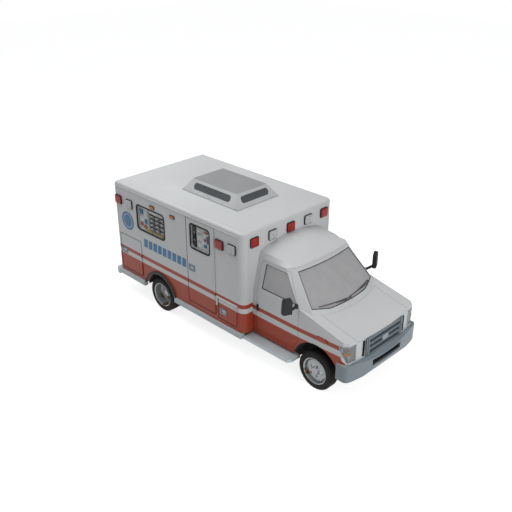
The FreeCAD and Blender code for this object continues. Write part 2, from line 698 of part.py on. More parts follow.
def grille():
    """The grille's frame, a rib down each of its columns, and its three broad bars."""
    depth_x = nose_x - 22.0
    outer = prism(grille_outline(0.0, 0.0), "x", depth_x - 30.0, nose_x + 18.0)
    inner = prism(grille_outline(grille_rail, grille_column), "x", depth_x - 60.0, nose_x + 60.0)
    pieces = [outer.cut(inner)]
    rib_y = grille_foot_half - grille_column / 2.0
    for side in (-1, 1):
        rib = [(nose_x, rib_y - 17.0), (nose_x + 30.0, rib_y - 9.0), (nose_x + 30.0, rib_y + 9.0),
               (nose_x, rib_y + 17.0)]
        column = prism(rib, "z", grille_bottom_z + 6.0, grille_top_z - 6.0)
        pieces.append(column if side > 0 else mirrored(column))
    opening_low = grille_bottom_z + grille_rail
    pitch = (grille_top_z - grille_rail - opening_low) / 3.0
    half, bar = grille_foot_half - grille_column + 18.0, 0.235 * pitch
    for row in range(3):
        z = opening_low + pitch * (row + 1) - bar + 5.0
        profile = [(depth_x - 20.0, z - bar), (nose_x + 8.0, z - bar + 3.0), (nose_x + 20.0, z - 0.45 * bar),
                   (nose_x + 20.0, z + 0.30 * bar), (nose_x + 6.0, z + bar - 3.0), (depth_x - 20.0, z + bar)]
        pieces.append(prism(profile, "y", -half, half))
    return [joined(pieces)]


def corner_arc(before, corner, after, reach):
    """The arc that rounds a plan's corner, from reach before it to reach after it."""
    first, second = before.sub(corner).normalize(), after.sub(corner).normalize()
    half = first.getAngle(second) / 2.0
    radius = reach * math.tan(half)
    middle = corner.add(first.add(second).normalize().multiply(radius / math.sin(half) - radius))
    return Part.Arc(corner.add(vec(first).multiply(reach)), middle, corner.add(vec(second).multiply(reach)))


def bumper_plan(inset):
    """The bumper's outline from above: a bowed front and corners that wrap the wings."""
    front = front_overhang - inset
    corner_x, corner_y = front - 125.0, cab_half_width + 37.0 - inset
    face_y = cab_half_width - 105.0 - inset
    arc = Part.Arc(vec(corner_x + 40.0, -face_y, 0), vec(front, 0, 0), vec(corner_x + 40.0, face_y, 0)).toShape()
    rear = bumper_rear_x if inset == 0 else bumper_rear_x - 200.0
    corners = [vec(corner_x + 40.0, face_y, 0), vec(corner_x, corner_y, 0), vec(rear, corner_y - 6.0, 0)]
    turn = corner_arc(corners[0], corners[1], corners[2], 70.0)
    left = [Part.makeLine(corners[0], turn.StartPoint), turn.toShape(), Part.makeLine(turn.EndPoint, corners[2])]
    back = Part.makeLine(corners[2], vec(rear, -corner_y + 6.0, 0))
    wire = Part.Wire([arc] + left + [back] + [mirrored(edge) for edge in reversed(left)])
    return Part.Face(wire).extrude(vec(0, 0, 1200.0))


def front_bumper():
    front = front_overhang
    profile = [(460.0, 470.0), (front - 42.0, 470.0), (front, 560.0), (front, 728.0), (front - 66.0, bumper_top_z),
               (460.0, bumper_top_z)]
    shell = bumper_plan(0.0).common(prism(profile, "y", -beyond, beyond))
    hollow = bumper_plan(55.0).common(box(200.0, 900.0, -beyond, beyond, 400.0, 760.0))
    shell = shell.cut(hollow)
    shell = shell.cut(box(front - 60.0, front + 20.0, -410.0, 410.0, 592.0, 710.0))
    shell = shell.cut(box(300.0, front - 55.0, -700.0, 700.0, 400.0, bumper_top_z - 18.0))
    shell = shell.cut(box(300.0, nose_x - 50.0, -700.0, 700.0, 700.0, 900.0))
    backing = box(front - 110.0, front - 50.0, -420.0, 420.0, 583.0, 719.0)
    stays = [box(nose_x - 65.0, front - 50.0, side * rail_outer_y, side * 370.0, 560.0, 660.0) for side in (-1, 1)]
    return [joined([shell, backing] + stays)]


def windshield():
    set_in = 6.0
    return [greenhouse(set_in).cut(greenhouse(set_in + glass)).common(windshield_prism())]


def cab_door(side):
    """One cab door: outer skin to inner trim, with its window cut through."""
    gap = door_gap
    region = prism(inset_outline(door_outline(), gap), "y", door_inner_y + gap, beyond)
    region = region.cut(arch_drum(door_arch_radius + gap, 0.0, 0.0, beyond))
    skin = greenhouse(0.0).cut(greenhouse(cab_skin))
    skin = skin.fuse(lower_body(0.0).cut(lower_body(cab_skin, firewall_x)))
    window = prism(door_window_outline(), "y", door_inner_y - 100.0, beyond)
    door = skin.common(region).cut(window).removeSplitter()
    return door if side > 0 else mirrored(door)


def cab_door_glass(side):
    window = prism(door_window_outline(), "y", door_inner_y - 100.0, beyond)
    set_in = 12.0
    pane = greenhouse(set_in).cut(greenhouse(set_in + glass)).common(window)
    return pane if side > 0 else mirrored(pane)


def mirror(side):
    """A tall black mirror head, toed in towards the driver, on an arm from the door's front corner."""
    head_x, head_y = -466.0, cab_half_width + 262.0
    head = prism([(head_y - 86.0, 1440.0), (head_y - 90.0, 1704.0), (head_y - 64.0, 1750.0), (head_y + 58.0, 1750.0),
                  (head_y + 84.0, 1704.0), (head_y + 96.0, 1466.0), (head_y + 70.0, 1436.0)],
                 "x", head_x - 33.0, head_x + 33.0)
    edges = [e for e in head.Edges if abs(e.tangentAt(e.FirstParameter).x) < 0.1]
    head = head.makeFillet(14.0, edges)
    head.rotate(vec(head_x, head_y, 0), vec(0, 0, 1), 28.0)
    foot = prism([(-514.0, 1440.0), (-514.0, 1505.0), (-478.0, 1505.0), (-453.0, 1448.0), (-453.0, 1440.0)], "y",
                 belt_half_width - 25.0, belt_half_width + 25.0)
    foot = foot.cut(greenhouse(0.0))
    arm = rod(21.0, vec(-486.0, belt_half_width + 2.0, 1471.0), vec(-480.0, head_y - 40.0, 1463.0))
    arm = arm.cut(greenhouse(0.0))
    whole = joined([head, foot, arm])
    return whole if side > 0 else mirrored(whole)


def running_boards():
    """The boards under the cab doors, with a cut front corner."""
    inner_y, front_x, rear_x = cab_half_width - 85.0, -tyre_radius - board_room, module_front_x - 36.0
    outline = [(rear_x, inner_y), (rear_x, board_outer_y), (front_x - 55.0, board_outer_y),
               (front_x, board_outer_y - 80.0), (front_x, inner_y)]
    board = prism(outline, "z", board_top_z - 60.0, board_top_z)
    rim = [e for e in board.Edges if abs(e.CenterOfMass.z - board_top_z) < 1.0]
    return both_sides(board.makeChamfer(6.0, rim))


def dashboard():
    """The fascia, on the firewall."""
    profile = [(firewall_x - 50.0, 1000.0), (firewall_x - 50.0, 1290.0), (-420.0, 1345.0), (-520.0, 1330.0),
               (-560.0, 1240.0), (-500.0, 1060.0), (-400.0, 1000.0)]
    half = cab_half_width - 185.0
    return [prism(profile, "y", -half, half)]


def steering_wheel():
    centre = vec(-665.0, 400.0, 1250.0)
    axis = vec(-0.87, 0, 0.5)
    ring = Part.makeTorus(190.0, 15.0, centre, axis)
    column = rod(25.0, centre, centre - axis * 150.0)
    hub = rod(55.0, centre - axis * 20.0, centre + axis * 12.0)
    across = vec(0, 1, 0)
    upward = axis.cross(across)
    spokes = [rod(11.0, centre, centre + direction * 186.0)
              for direction in (across, across * -1.0, upward)]
    return [joined([ring, column, hub] + spokes).cut(dashboard()[0])]


def cab_seats():
    pieces = []
    for y in (-430.0, 430.0):
        base = box(-1230.0, -760.0, y - 200.0, y + 200.0, cab_floor_z, 930.0)
        cushion = box(-1250.0, -720.0, y - 245.0, y + 245.0, 930.0, 1070.0)
        back = prism([(-1190.0, 1070.0), (-1300.0, 1640.0), (-1420.0, 1640.0), (-1330.0, 1040.0),
                      (-1250.0, 1040.0), (-1250.0, 1070.0)], "y", y - 235.0, y + 235.0)
        head = prism([(-1330.0, 1640.0), (-1350.0, 1800.0), (-1430.0, 1800.0), (-1420.0, 1640.0)],
                     "y", y - 130.0, y + 130.0)
        pieces.append(joined([base, cushion, back, head]))
    return pieces


# ---------------------------------------------------------------- module
def module_plan(inset, z0, z1):
    """The module's footprint as a block, with rounded vertical corners, moved inwards by inset."""
    half = half_width - inset
    block = box(module_rear_x + inset, module_front_x - inset, -half, half, z0, z1)
    upright = [e for e in block.Edges if abs(e.tangentAt(e.FirstParameter).z) > 0.9]
    front = [e for e in upright if e.CenterOfMass.x > rear_axle_x]
    rear = [e for e in upright if e.CenterOfMass.x < rear_axle_x]
    block = block.makeFillet(max(front_corner_radius - inset, 10.0), front)
    if inset == 0:
        rear = [e for e in block.Edges if abs(e.tangentAt(e.FirstParameter).z) > 0.9
                and e.CenterOfMass.x < module_rear_x + 1.0]
        block = block.makeFillet(rear_corner_radius, rear)
    return block


def wall_ring():
    return module_plan(0.0, skirt_z, wall_top_z).cut(module_plan(wall, skirt_z - 10.0, wall_top_z + 10.0))


def opening(shape, y0, y1):
    """A block along Y, from a (front x, rear x, bottom z, top z)."""
    front, rear, low, high = shape
    return box(rear, front, y0, y1, low, high)


def module_front_wall():
    part = wall_ring().common(box(side_seam_x, 0.0, -beyond, beyond, 0.0, 3000.0))
    inner_y = half_width - wall
    under = box(side_seam_x - 10.0, 0.0, -inner_y + 160.0, inner_y - 160.0, 0.0, floor_z)
    return [part.cut(under)]


def side_wall(side):
    part = wall_ring().common(box(rear_seam_x, side_seam_x, 0.0, side * beyond, 0.0, 3000.0))
    part = part.cut(arch_drum(rear_arch_radius, rear_axle_x, -beyond, beyond))
    for _, locker_side, shape in lockers:
        if locker_side == side:
            part = part.cut(opening(shape, 0.0, side * beyond))
    return part


def module_right_wall():
    part = side_wall(-1).cut(opening(side_door, 0.0, -beyond))
    return [part.cut(rounded(opening(fixed_window, 0.0, -beyond), "y", window_radius))]


def module_left_wall():
    return [side_wall(1)]


def module_rear_frame():
    part = wall_ring().common(box(module_rear_x, rear_seam_x, -beyond, beyond, 0.0, 3000.0))
    part = part.cut(box(module_rear_x - 10.0, rear_seam_x + 10.0, -rear_door_half, rear_door_half,
                        rear_door_bottom_z, rear_door_top_z))
    kick_z = rear_door_bottom_z - 180.0
    for side in (-1, 1):
        y = side * plate_hole_spacing / 2.0
        part = part.cut(rod(plate_hole_radius, vec(module_rear_x - 10.0, y, kick_z),
                            vec(rear_seam_x + 10.0, y, kick_z)))
    return [part]


def module_floor():
    """The floor slab with its fastener holes, cut back at the side door, and the step well's tray."""
    half = half_width - wall
    slab = box(rear_seam_x, module_front_x - wall, -half, half, floor_z, floor_top_z)
    slab = slab.common(module_plan(wall, 0.0, 3000.0))
    for _, side, shape in lockers:
        slab = slab.cut(locker_block(side, shape))
    front, rear, low, _ = side_door
    well = box(rear, front, -half, -half + 300.0, floor_z - 300.0, floor_top_z + 10.0)
    slab = slab.cut(well)
    for x in (fastener_x - fastener_spacing_x / 2.0, fastener_x + fastener_spacing_x / 2.0):
        for y in (-fastener_spacing_y / 2.0, fastener_spacing_y / 2.0):
            slab = slab.cut(rod(fastener_hole_radius, vec(x, y, floor_z - 10.0), vec(x, y, floor_top_z + 10.0)))
    tray = [box(rear, front, -half, -half + 300.0, low, low + 20.0),
            box(rear, front, -half + 280.0, -half + 300.0, low, floor_top_z),
            box(rear, rear + 20.0, -half, -half + 300.0, low, floor_top_z),
            box(front - 20.0, front, -half, -half + 300.0, low, floor_top_z)]
    return [joined([slab] + tray)]


def module_roof():
    block = module_plan(0.0, wall_top_z, roof_top_z)
    rim = [e for e in block.Edges if abs(e.CenterOfMass.z - roof_top_z) < 0.5]
    return [block.makeFillet(roof_edge_radius, rim)]


def locker_block(side, shape):
    """The space behind a locker door, inside the wall."""
    half = half_width - wall
    return opening(shape, side * (half - locker_depth), side * half)


def locker_boxes():
    """An open-fronted metal box behind each locker door."""
    pieces = []
    for _, side, shape in lockers:
        shell = locker_block(side, shape)
        front, rear, low, high = shape
        half = half_width - wall
        hollow = box(rear + locker_wall, front - locker_wall, side * (half - locker_depth + locker_wall),
                     side * (half + 10.0), low + locker_wall, high - locker_wall)
        pieces.append(shell.cut(hollow))
    return pieces


def module_leaf(side, shape):
    """A hinged panel that fills an opening in a side wall."""
    front, rear, low, high = shape
    leaf = box(rear + door_gap, front - door_gap, side * (half_width - wall + 5.0), side * half_width,
               low + door_gap, high - door_gap)
    edges = [e for e in leaf.Edges if abs(abs(e.CenterOfMass.y) - half_width) < 1.0]
    leaf = leaf.makeChamfer(3.0, edges)
    hinge_x = front - door_gap / 2.0
    hinge_y = side * (half_width + hinge_radius + skin_gap)
    barrel_part = rod(hinge_radius, vec(hinge_x, hinge_y, low + 30.0), vec(hinge_x, hinge_y, high - 30.0))
    web = box(hinge_x - hinge_radius, hinge_x - door_gap, side * (half_width - 5.0), hinge_y, low + 30.0, high - 30.0)
    return joined([leaf, barrel_part, web])


def side_entry_door():
    return [module_leaf(-1, side_door).cut(rounded(opening(side_door_window, 0.0, -beyond), "y", window_radius))]


def flat_pane(window, side):
    """The glass of a window in the module's side, set a little inside the wall's face."""
    outer = half_width - 12.0
    return [rounded(opening(window, side * outer, side * (outer - glass)), "y", window_radius)]


def rear_window_block(side, x0, x1):
    inner, outer, low, high = rear_window
    return rounded(box(x0, x1, side * inner, side * outer, low, high), "x", rear_window_radius)


def rear_door(side):
    """One of the two rear doors, from its hinge edge to the middle."""
    outer_y = rear_door_half - door_gap
    leaf = box(module_rear_x, rear_seam_x - 5.0, side * door_gap, side * outer_y,
               rear_door_bottom_z + door_gap, rear_door_top_z - door_gap)
    hole = rear_window_block(side, module_rear_x - 10.0, rear_seam_x + 10.0)
    hinge_x = module_rear_x - hinge_radius - skin_gap
    hinge_y = rear_door_half - door_gap / 2.0
    low, high = rear_door_bottom_z + 30.0, rear_door_top_z - 30.0
    barrel_part = rod(hinge_radius, vec(hinge_x, side * hinge_y, low), vec(hinge_x, side * hinge_y, high))
    web = box(hinge_x, module_rear_x + 5.0, side * (hinge_y - hinge_radius), side * (hinge_y - door_gap), low, high)
    return joined([leaf.cut(hole), barrel_part, web])


def rear_door_glass(side):
    x = module_rear_x + 12.0
    return rear_window_block(side, x, x + glass)


def rub_rails():
    """Metal rails along the foot of the module, ahead of and behind each rear arch."""
    pieces = []
    rail_z0, rail_z1 = skirt_z - 120.0, skirt_z
    proud = 38.0
    spans = ((module_front_x - 60.0, rear_axle_x + rear_arch_radius - 5.0),
             (rear_axle_x - rear_arch_radius - 40.0, module_rear_x - 40.0))
    for x0, x1 in spans:
        for side in (-1, 1):
            bar = box(x0, x1, side * (half_width - wall), side * (half_width + proud), rail_z0, rail_z1)
            edges = [e for e in bar.Edges if abs(abs(e.CenterOfMass.y) - half_width - proud) < 1.0
                     and abs(e.tangentAt(e.FirstParameter).x) > 0.9]
            pieces.append(bar.makeChamfer(14.0, edges))
    return pieces


def rear_step():
    """The step behind the rear doors, on two arms from the frame rails."""
    half = half_width + 38.0
    low, high = skirt_z - 150.0, skirt_z - 5.0
    deck = box(step_rear_x, module_rear_x - 41.0, -half + 2.0, half - 2.0, low, high)
    upright = [e for e in deck.Edges if abs(e.tangentAt(e.FirstParameter).z) > 0.9
               and e.CenterOfMass.x < step_rear_x + 1.0]
    deck = deck.makeFillet(30.0, upright)
    arms = [box(module_rear_x - 60.0, module_rear_x + 200.0, side * rail_outer_y, side * 370.0, low, rail_bottom_z)
            for side in (-1, 1)]
    return [joined([deck] + arms)]


def wheel_flares():
    """Black lips round the rear wheel arches."""
    outer = rear_arch_radius + flare_width
    proud = 36.0
    ring = arch_drum(outer, rear_axle_x, half_width, half_width + proud)
    ring = ring.cut(arch_drum(rear_arch_radius, rear_axle_x, half_width - 10.0, half_width + proud + 10.0))
    ring = ring.common(box(rear_axle_x - outer, rear_axle_x + outer, 0.0, beyond, skirt_z + 0.5, beyond))
    return both_sides(ring)


def roof_air_unit():
    base_x0, base_x1, base_y = rear_axle_x + 43.0, rear_axle_x + 1633.0, 560.0
    top_x0, top_x1, top_y = base_x0 + 170.0, base_x1 - 170.0, 400.0
    lip_z = roof_top_z + 30.0
    top_z = roof_top_z + 250.0

    def rectangle(x0, x1, half, z):
        corners = [vec(x0, -half, z), vec(x1, -half, z), vec(x1, half, z), vec(x0, half, z)]
        return Part.makePolygon(corners + corners[:1])

    hump = Part.makeLoft([rectangle(base_x0 + 12.0, base_x1 - 12.0, base_y - 12.0, lip_z),
                          rectangle(top_x0, top_x1, top_y, top_z)], True, True)
    lip = box(base_x0, base_x1, -base_y, base_y, roof_top_z, lip_z)
    unit = joined([hump, lip])
    slot_low, slot_high, bevel = lip_z + 52.0, lip_z + 168.0, 34.0

    def slot(start, end):
        """A long eight-sided opening between two ends."""
        return [(start, slot_low + bevel), (start, slot_high - bevel), (start + bevel, slot_high),
                (end - bevel, slot_high), (end, slot_high - bevel), (end, slot_low + bevel),
                (end - bevel, slot_low), (start + bevel, slot_low)]

    side_slot, front_slot = slot(top_x0 + 105.0, top_x1 - 105.0), slot(-365.0, 365.0)
    depth = 400.0
    unit = unit.cut(prism(side_slot, "y", depth, 1000.0)).cut(prism(side_slot, "y", -1000.0, -depth))
    return [unit.cut(prism(front_slot, "x", top_x1 + 10.0, base_x1 + 100.0))]


# Warning lamps on the module's sides: (x, z); on its front and rear: y
side_lamps = (
    (module_rear_x + 126.0, 2180.0), (module_rear_x + 490.0, 2170.0),
    (module_front_x - 613.0, 2180.0), (module_front_x - 291.0, 2190.0),
)
front_lamps = (-952.0, -487.0, 0.0, 487.0, 952.0)
front_lamp_z = 2344.0
rear_lamps = (-1020.0, -400.0, 0.0, 400.0, 1020.0)
rear_lamp_z = 2370.0
lamp_width, lamp_height, lamp_depth = 210.0, 190.0, 42.0
lamp_corner = 26.0
tail_lamp_z = (620.0, 730.0, 840.0)


def lamp_lenses():
    """Warning lamps, side markers and tail lamps, each on the face that it is screwed to."""
    pieces = []
    half_w, half_h = lamp_width / 2.0, lamp_height / 2.0
    for x, z in side_lamps:
        block = box(x - half_w, x + half_w, half_width, half_width + lamp_depth, z - half_h, z + half_h)
        pieces.extend(both_sides(rounded(block, "y", lamp_corner)))
    for y in front_lamps:
        block = box(module_front_x, module_front_x + lamp_depth, y - half_w, y + half_w,
                    front_lamp_z - half_h, front_lamp_z + half_h)
        pieces.append(rounded(block, "x", lamp_corner))
    for y in rear_lamps:
        block = box(module_rear_x - lamp_depth, module_rear_x, y - half_w, y + half_w,
                    rear_lamp_z - half_h, rear_lamp_z + half_h)
        pieces.append(rounded(block, "x", lamp_corner))
    for x, z in ((rear_axle_x - 117.0, 2320.0), (rear_axle_x + 508.0, 2305.0)):
        block = box(x - 75.0, x + 75.0, half_width, half_width + 26.0, z - 34.0, z + 34.0)
        pieces.extend(both_sides(block))
    for side in (-1, 1):
        for z in tail_lamp_z:
            pieces.append(box(module_rear_x - 30.0, module_rear_x, side * (half_width - 80.0),
                              side * (half_width - 320.0), z - 45.0, z + 45.0))
    marker = box(3.0, 240.0, cab_half_width, cab_half_width + 14.0, 1057.0, 1092.0)
    pieces.extend(both_sides(marker))
    return pieces


def interior_cabinets():
    """Left wall cabinets, the bench's base and the supply rack behind the fixed window."""
    half = half_width - wall
    tall = box(rear_locker[0] + 20.0, tall_locker[1] - 20.0, half - 430.0, half, floor_top_z, 2380.0)
    bench = box(side_door[1] - 60.0, rear_locker[0] + 20.0, -half, -half + 440.0, floor_top_z, 1250.0)
    front, rear, low, high = fixed_window
    rack = box(rear - 20.0, front + 20.0, -half, -half + 150.0, low - 20.0, high + 20.0)
    return [tall, bench, rack]


def bench_cushions():
    half = half_width - wall
    seat = box(side_door[1] - 70.0, rear_locker[0] + 30.0, -half + skin_gap, -half + 430.0, 1250.0 + skin_gap, 1330.0)
    back = box(side_door[1] - 70.0, rear_locker[0] + 30.0, -half + skin_gap, -half + 70.0, 1330.0 + skin_gap, 1670.0)
    return [seat, back]


# ---------------------------------------------------------------- write every node
os.makedirs("parts", exist_ok=True)
write("frame_rails", frame_rails())
write("frame_crossmembers", frame_crossmembers())
write("engine_block", engine_block())
write("front_axle", front_axle())
write("rear_axle", rear_axle())
write("fuel_tank", fuel_tank())
write("exhaust_pipe", exhaust_pipe())
write("cab_shell", cab_shell())
write("cab_roof", cab_roof())
write("front_fenders", front_fenders())
write("header_panel", header_panel())
write("grille", grille())
write("front_bumper", front_bumper())
write("headlights", headlights())
write("windshield", windshield())
write("dashboard", dashboard())
write("steering_wheel", steering_wheel())
write("cab_seats", cab_seats())
write("module_floor", module_floor())
write("module_roof", module_roof())
write("module_front_wall", module_front_wall())
write("module_left_wall", module_left_wall())
write("module_right_wall", module_right_wall())
write("module_rear_frame", module_rear_frame())
write("module_window", flat_pane(fixed_window, -1))
write("locker_boxes", locker_boxes())
write("rub_rails", rub_rails())
write("steps", running_boards() + rear_step())
write("wheel_flares", wheel_flares())
write("roof_air_unit", roof_air_unit())
write("lamp_lenses", lamp_lenses())
write("interior_cabinets", interior_cabinets())
write("bench_cushions", bench_cushions())
write("hood", hood())
write("side_entry_door", side_entry_door())
write("side_entry_glass", flat_pane(side_door_window, -1))
for side, hand in ((1, "left"), (-1, "right")):
    write(hand + "_cab_door", [cab_door(side)])
    write(hand + "_cab_door_glass", [cab_door_glass(side)])
    write(hand + "_mirror", [mirror(side)])
    write(hand + "_rear_door", [rear_door(side)])
    write(hand + "_rear_door_glass", [rear_door_glass(side)])
    write(hand + "_knuckle", knuckle(side))
    write(hand + "_front_tyre", [tyre(0.0, front_wheel_y, side)])
    write(hand + "_front_rim", front_rim(side))
    write(hand + "_rear_tyres", [tyre(rear_axle_x, y, side) for y in (rear_outer_y, rear_inner_y)])
    write(hand + "_rear_rims", rear_rims(side))
for name, side, shape in lockers:
    write(name + "_door", [module_leaf(side, shape)])
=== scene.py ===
"""Finish of a box-bodied ambulance on a van chassis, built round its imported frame.

The frame holds every working part at its real size. This script gives each part its material and adds
the small parts that show: tread, seals, handles, wipers, lamps, louvres, upholstery and trim. Lengths
are in metres. +X is forward, +Y is the vehicle's left and +Z is up, with the ground at zero.
"""

from __future__ import annotations

import logging
import math
from collections.abc import Callable, Iterable, Sequence
from dataclasses import dataclass, field
from enum import Enum

import bmesh
import bpy
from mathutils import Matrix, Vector
from mathutils.bvhtree import BVHTree


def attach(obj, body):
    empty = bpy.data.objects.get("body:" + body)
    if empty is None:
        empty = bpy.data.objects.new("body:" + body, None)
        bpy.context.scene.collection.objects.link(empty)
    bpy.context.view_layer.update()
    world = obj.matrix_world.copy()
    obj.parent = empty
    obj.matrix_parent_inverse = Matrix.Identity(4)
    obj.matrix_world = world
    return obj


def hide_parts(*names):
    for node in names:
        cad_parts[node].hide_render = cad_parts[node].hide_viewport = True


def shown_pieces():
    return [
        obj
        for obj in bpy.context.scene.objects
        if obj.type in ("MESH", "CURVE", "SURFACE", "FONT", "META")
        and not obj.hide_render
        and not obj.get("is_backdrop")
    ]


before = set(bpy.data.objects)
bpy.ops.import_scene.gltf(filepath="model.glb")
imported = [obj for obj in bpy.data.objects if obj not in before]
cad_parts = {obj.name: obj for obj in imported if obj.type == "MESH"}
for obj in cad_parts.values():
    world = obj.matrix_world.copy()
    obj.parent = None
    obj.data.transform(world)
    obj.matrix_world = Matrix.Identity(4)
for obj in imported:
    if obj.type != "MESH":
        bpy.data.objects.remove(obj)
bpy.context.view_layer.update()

Point = tuple[float, float, float]
Flat = tuple[float, float]
log = logging.getLogger("ambulance")

# Datums of the layout, from the front axle's line in the frame.
FRONT_AXLE = 2.354
REAR_AXLE = FRONT_AXLE - 4.013
BOX_FRONT = FRONT_AXLE - 1.544
BOX_REAR = FRONT_AXLE - 5.383
BOX_SIDE = 1.220


class Side(Enum):
    """The vehicle's two sides, by the sign of their Y."""

    LEFT = 1
    RIGHT = -1

    @property
    def word(self) -> str:
        """The side's name as the frame's nodes spell it."""
        return self.name.lower()

    def wall(self, out: float = 0.0) -> Face:
        """Gives the upright face so far out from the vehicle's middle."""
        return Face(Axis.Y, self.value * out, self.value)


class Axis(Enum):
    """An axis of the frame, by its index."""

    X = 0
    Y = 1
    Z = 2

    def point(self, along: float, first: float, second: float) -> Point:
        """Puts a value along this axis and two across it, in X, Y, Z order.

        Args:
            along: the place along this axis.
            first: the first of the other two, in X, Y, Z order.
            second: the second of the other two.

        Returns:
            The point.
        """
        rest = [first, second]
        rest.insert(self.value, along)
        return rest[0], rest[1], rest[2]


@dataclass(frozen=True)
class Face:
    """A flat face that pieces stand on: its axis, its place along it and which way is out."""

    axis: Axis
    at: float = 0.0
    way: float = 1.0

    def off(self, out: float) -> float:
        """Gives the place so far out of the face."""
        return self.at + self.way * out

    def point(self, out: float, first: float, second: float) -> Point:
        """Puts a point so far out of the face, at two places across it."""
        return self.axis.point(self.off(out), first, second)


UPWARD = Face(Axis.Z)
AHEAD = Face(Axis.X, FRONT_AXLE)
REAR_FACE = Face(Axis.X, BOX_REAR, -1.0)


# ---------------------------------------------------------------- colours and nodes
def linear(colour: str) -> tuple[float, float, float, float]:
    """Turns an sRGB hex colour to linear.

    Args:
        colour: six hex digits.

    Returns:
        Red, green, blue and an alpha of one.
    """
    parts = [int(colour[i:i + 2], 16) / 255.0 for i in (0, 2, 4)]
    red, green, blue = (c / 12.92 if c <= 0.04045 else ((c + 0.055) / 1.055) ** 2.4 for c in parts)
    return red, green, blue, 1.0


def add_node(tree: bpy.types.NodeTree, kind: str, sockets: dict | None = None, **settings: object) -> bpy.types.Node:
    """Adds one node to a tree.

    Args:
        tree: the material's or world's node tree.
        kind: the node's type, without its leading "ShaderNode".
        sockets: input name or index to a plain value, or to the output that feeds it.
        settings: the node's own properties.

    Returns:
        The new node.
    """
    node = tree.nodes.new("ShaderNode" + kind)
    for name, value in settings.items():
        setattr(node, name, value)
    for key, value in (sockets or {}).items():
        if isinstance(value, bpy.types.NodeSocket):
            tree.links.new(value, node.inputs[key])
        else:
            node.inputs[key].default_value = value
    return node


def empty_tree(owner: bpy.types.Material | bpy.types.World) -> bpy.types.NodeTree:
    """Turns a material's or world's nodes on and gives its tree, emptied.

    Args:
        owner: the material or world.

    Returns:
        Its node tree.
    """
    owner.use_nodes = True
    owner.node_tree.nodes.clear()
    return owner.node_tree


def add_object(name: str, data: bpy.types.ID) -> bpy.types.Object:
    """Puts an object with this data into the scene.

    Args:
        name: the object's name.
        data: its mesh, lamp or camera data.

    Returns:
        The object.
    """
    made = bpy.data.objects.new(name, data)
    bpy.context.scene.collection.objects.link(made)
    return made


class Grain(Enum):
    """How a surface's fine relief was made."""

    NONE = "polished"
    PEEL = "sprayed"
    PITS = "cast or moulded"
    HIDE = "embossed"
    BRUSHED = "brushed along the vehicle"
    CHEQUER = "rolled with lozenges"
    FLUTES = "moulded with upright flutes"


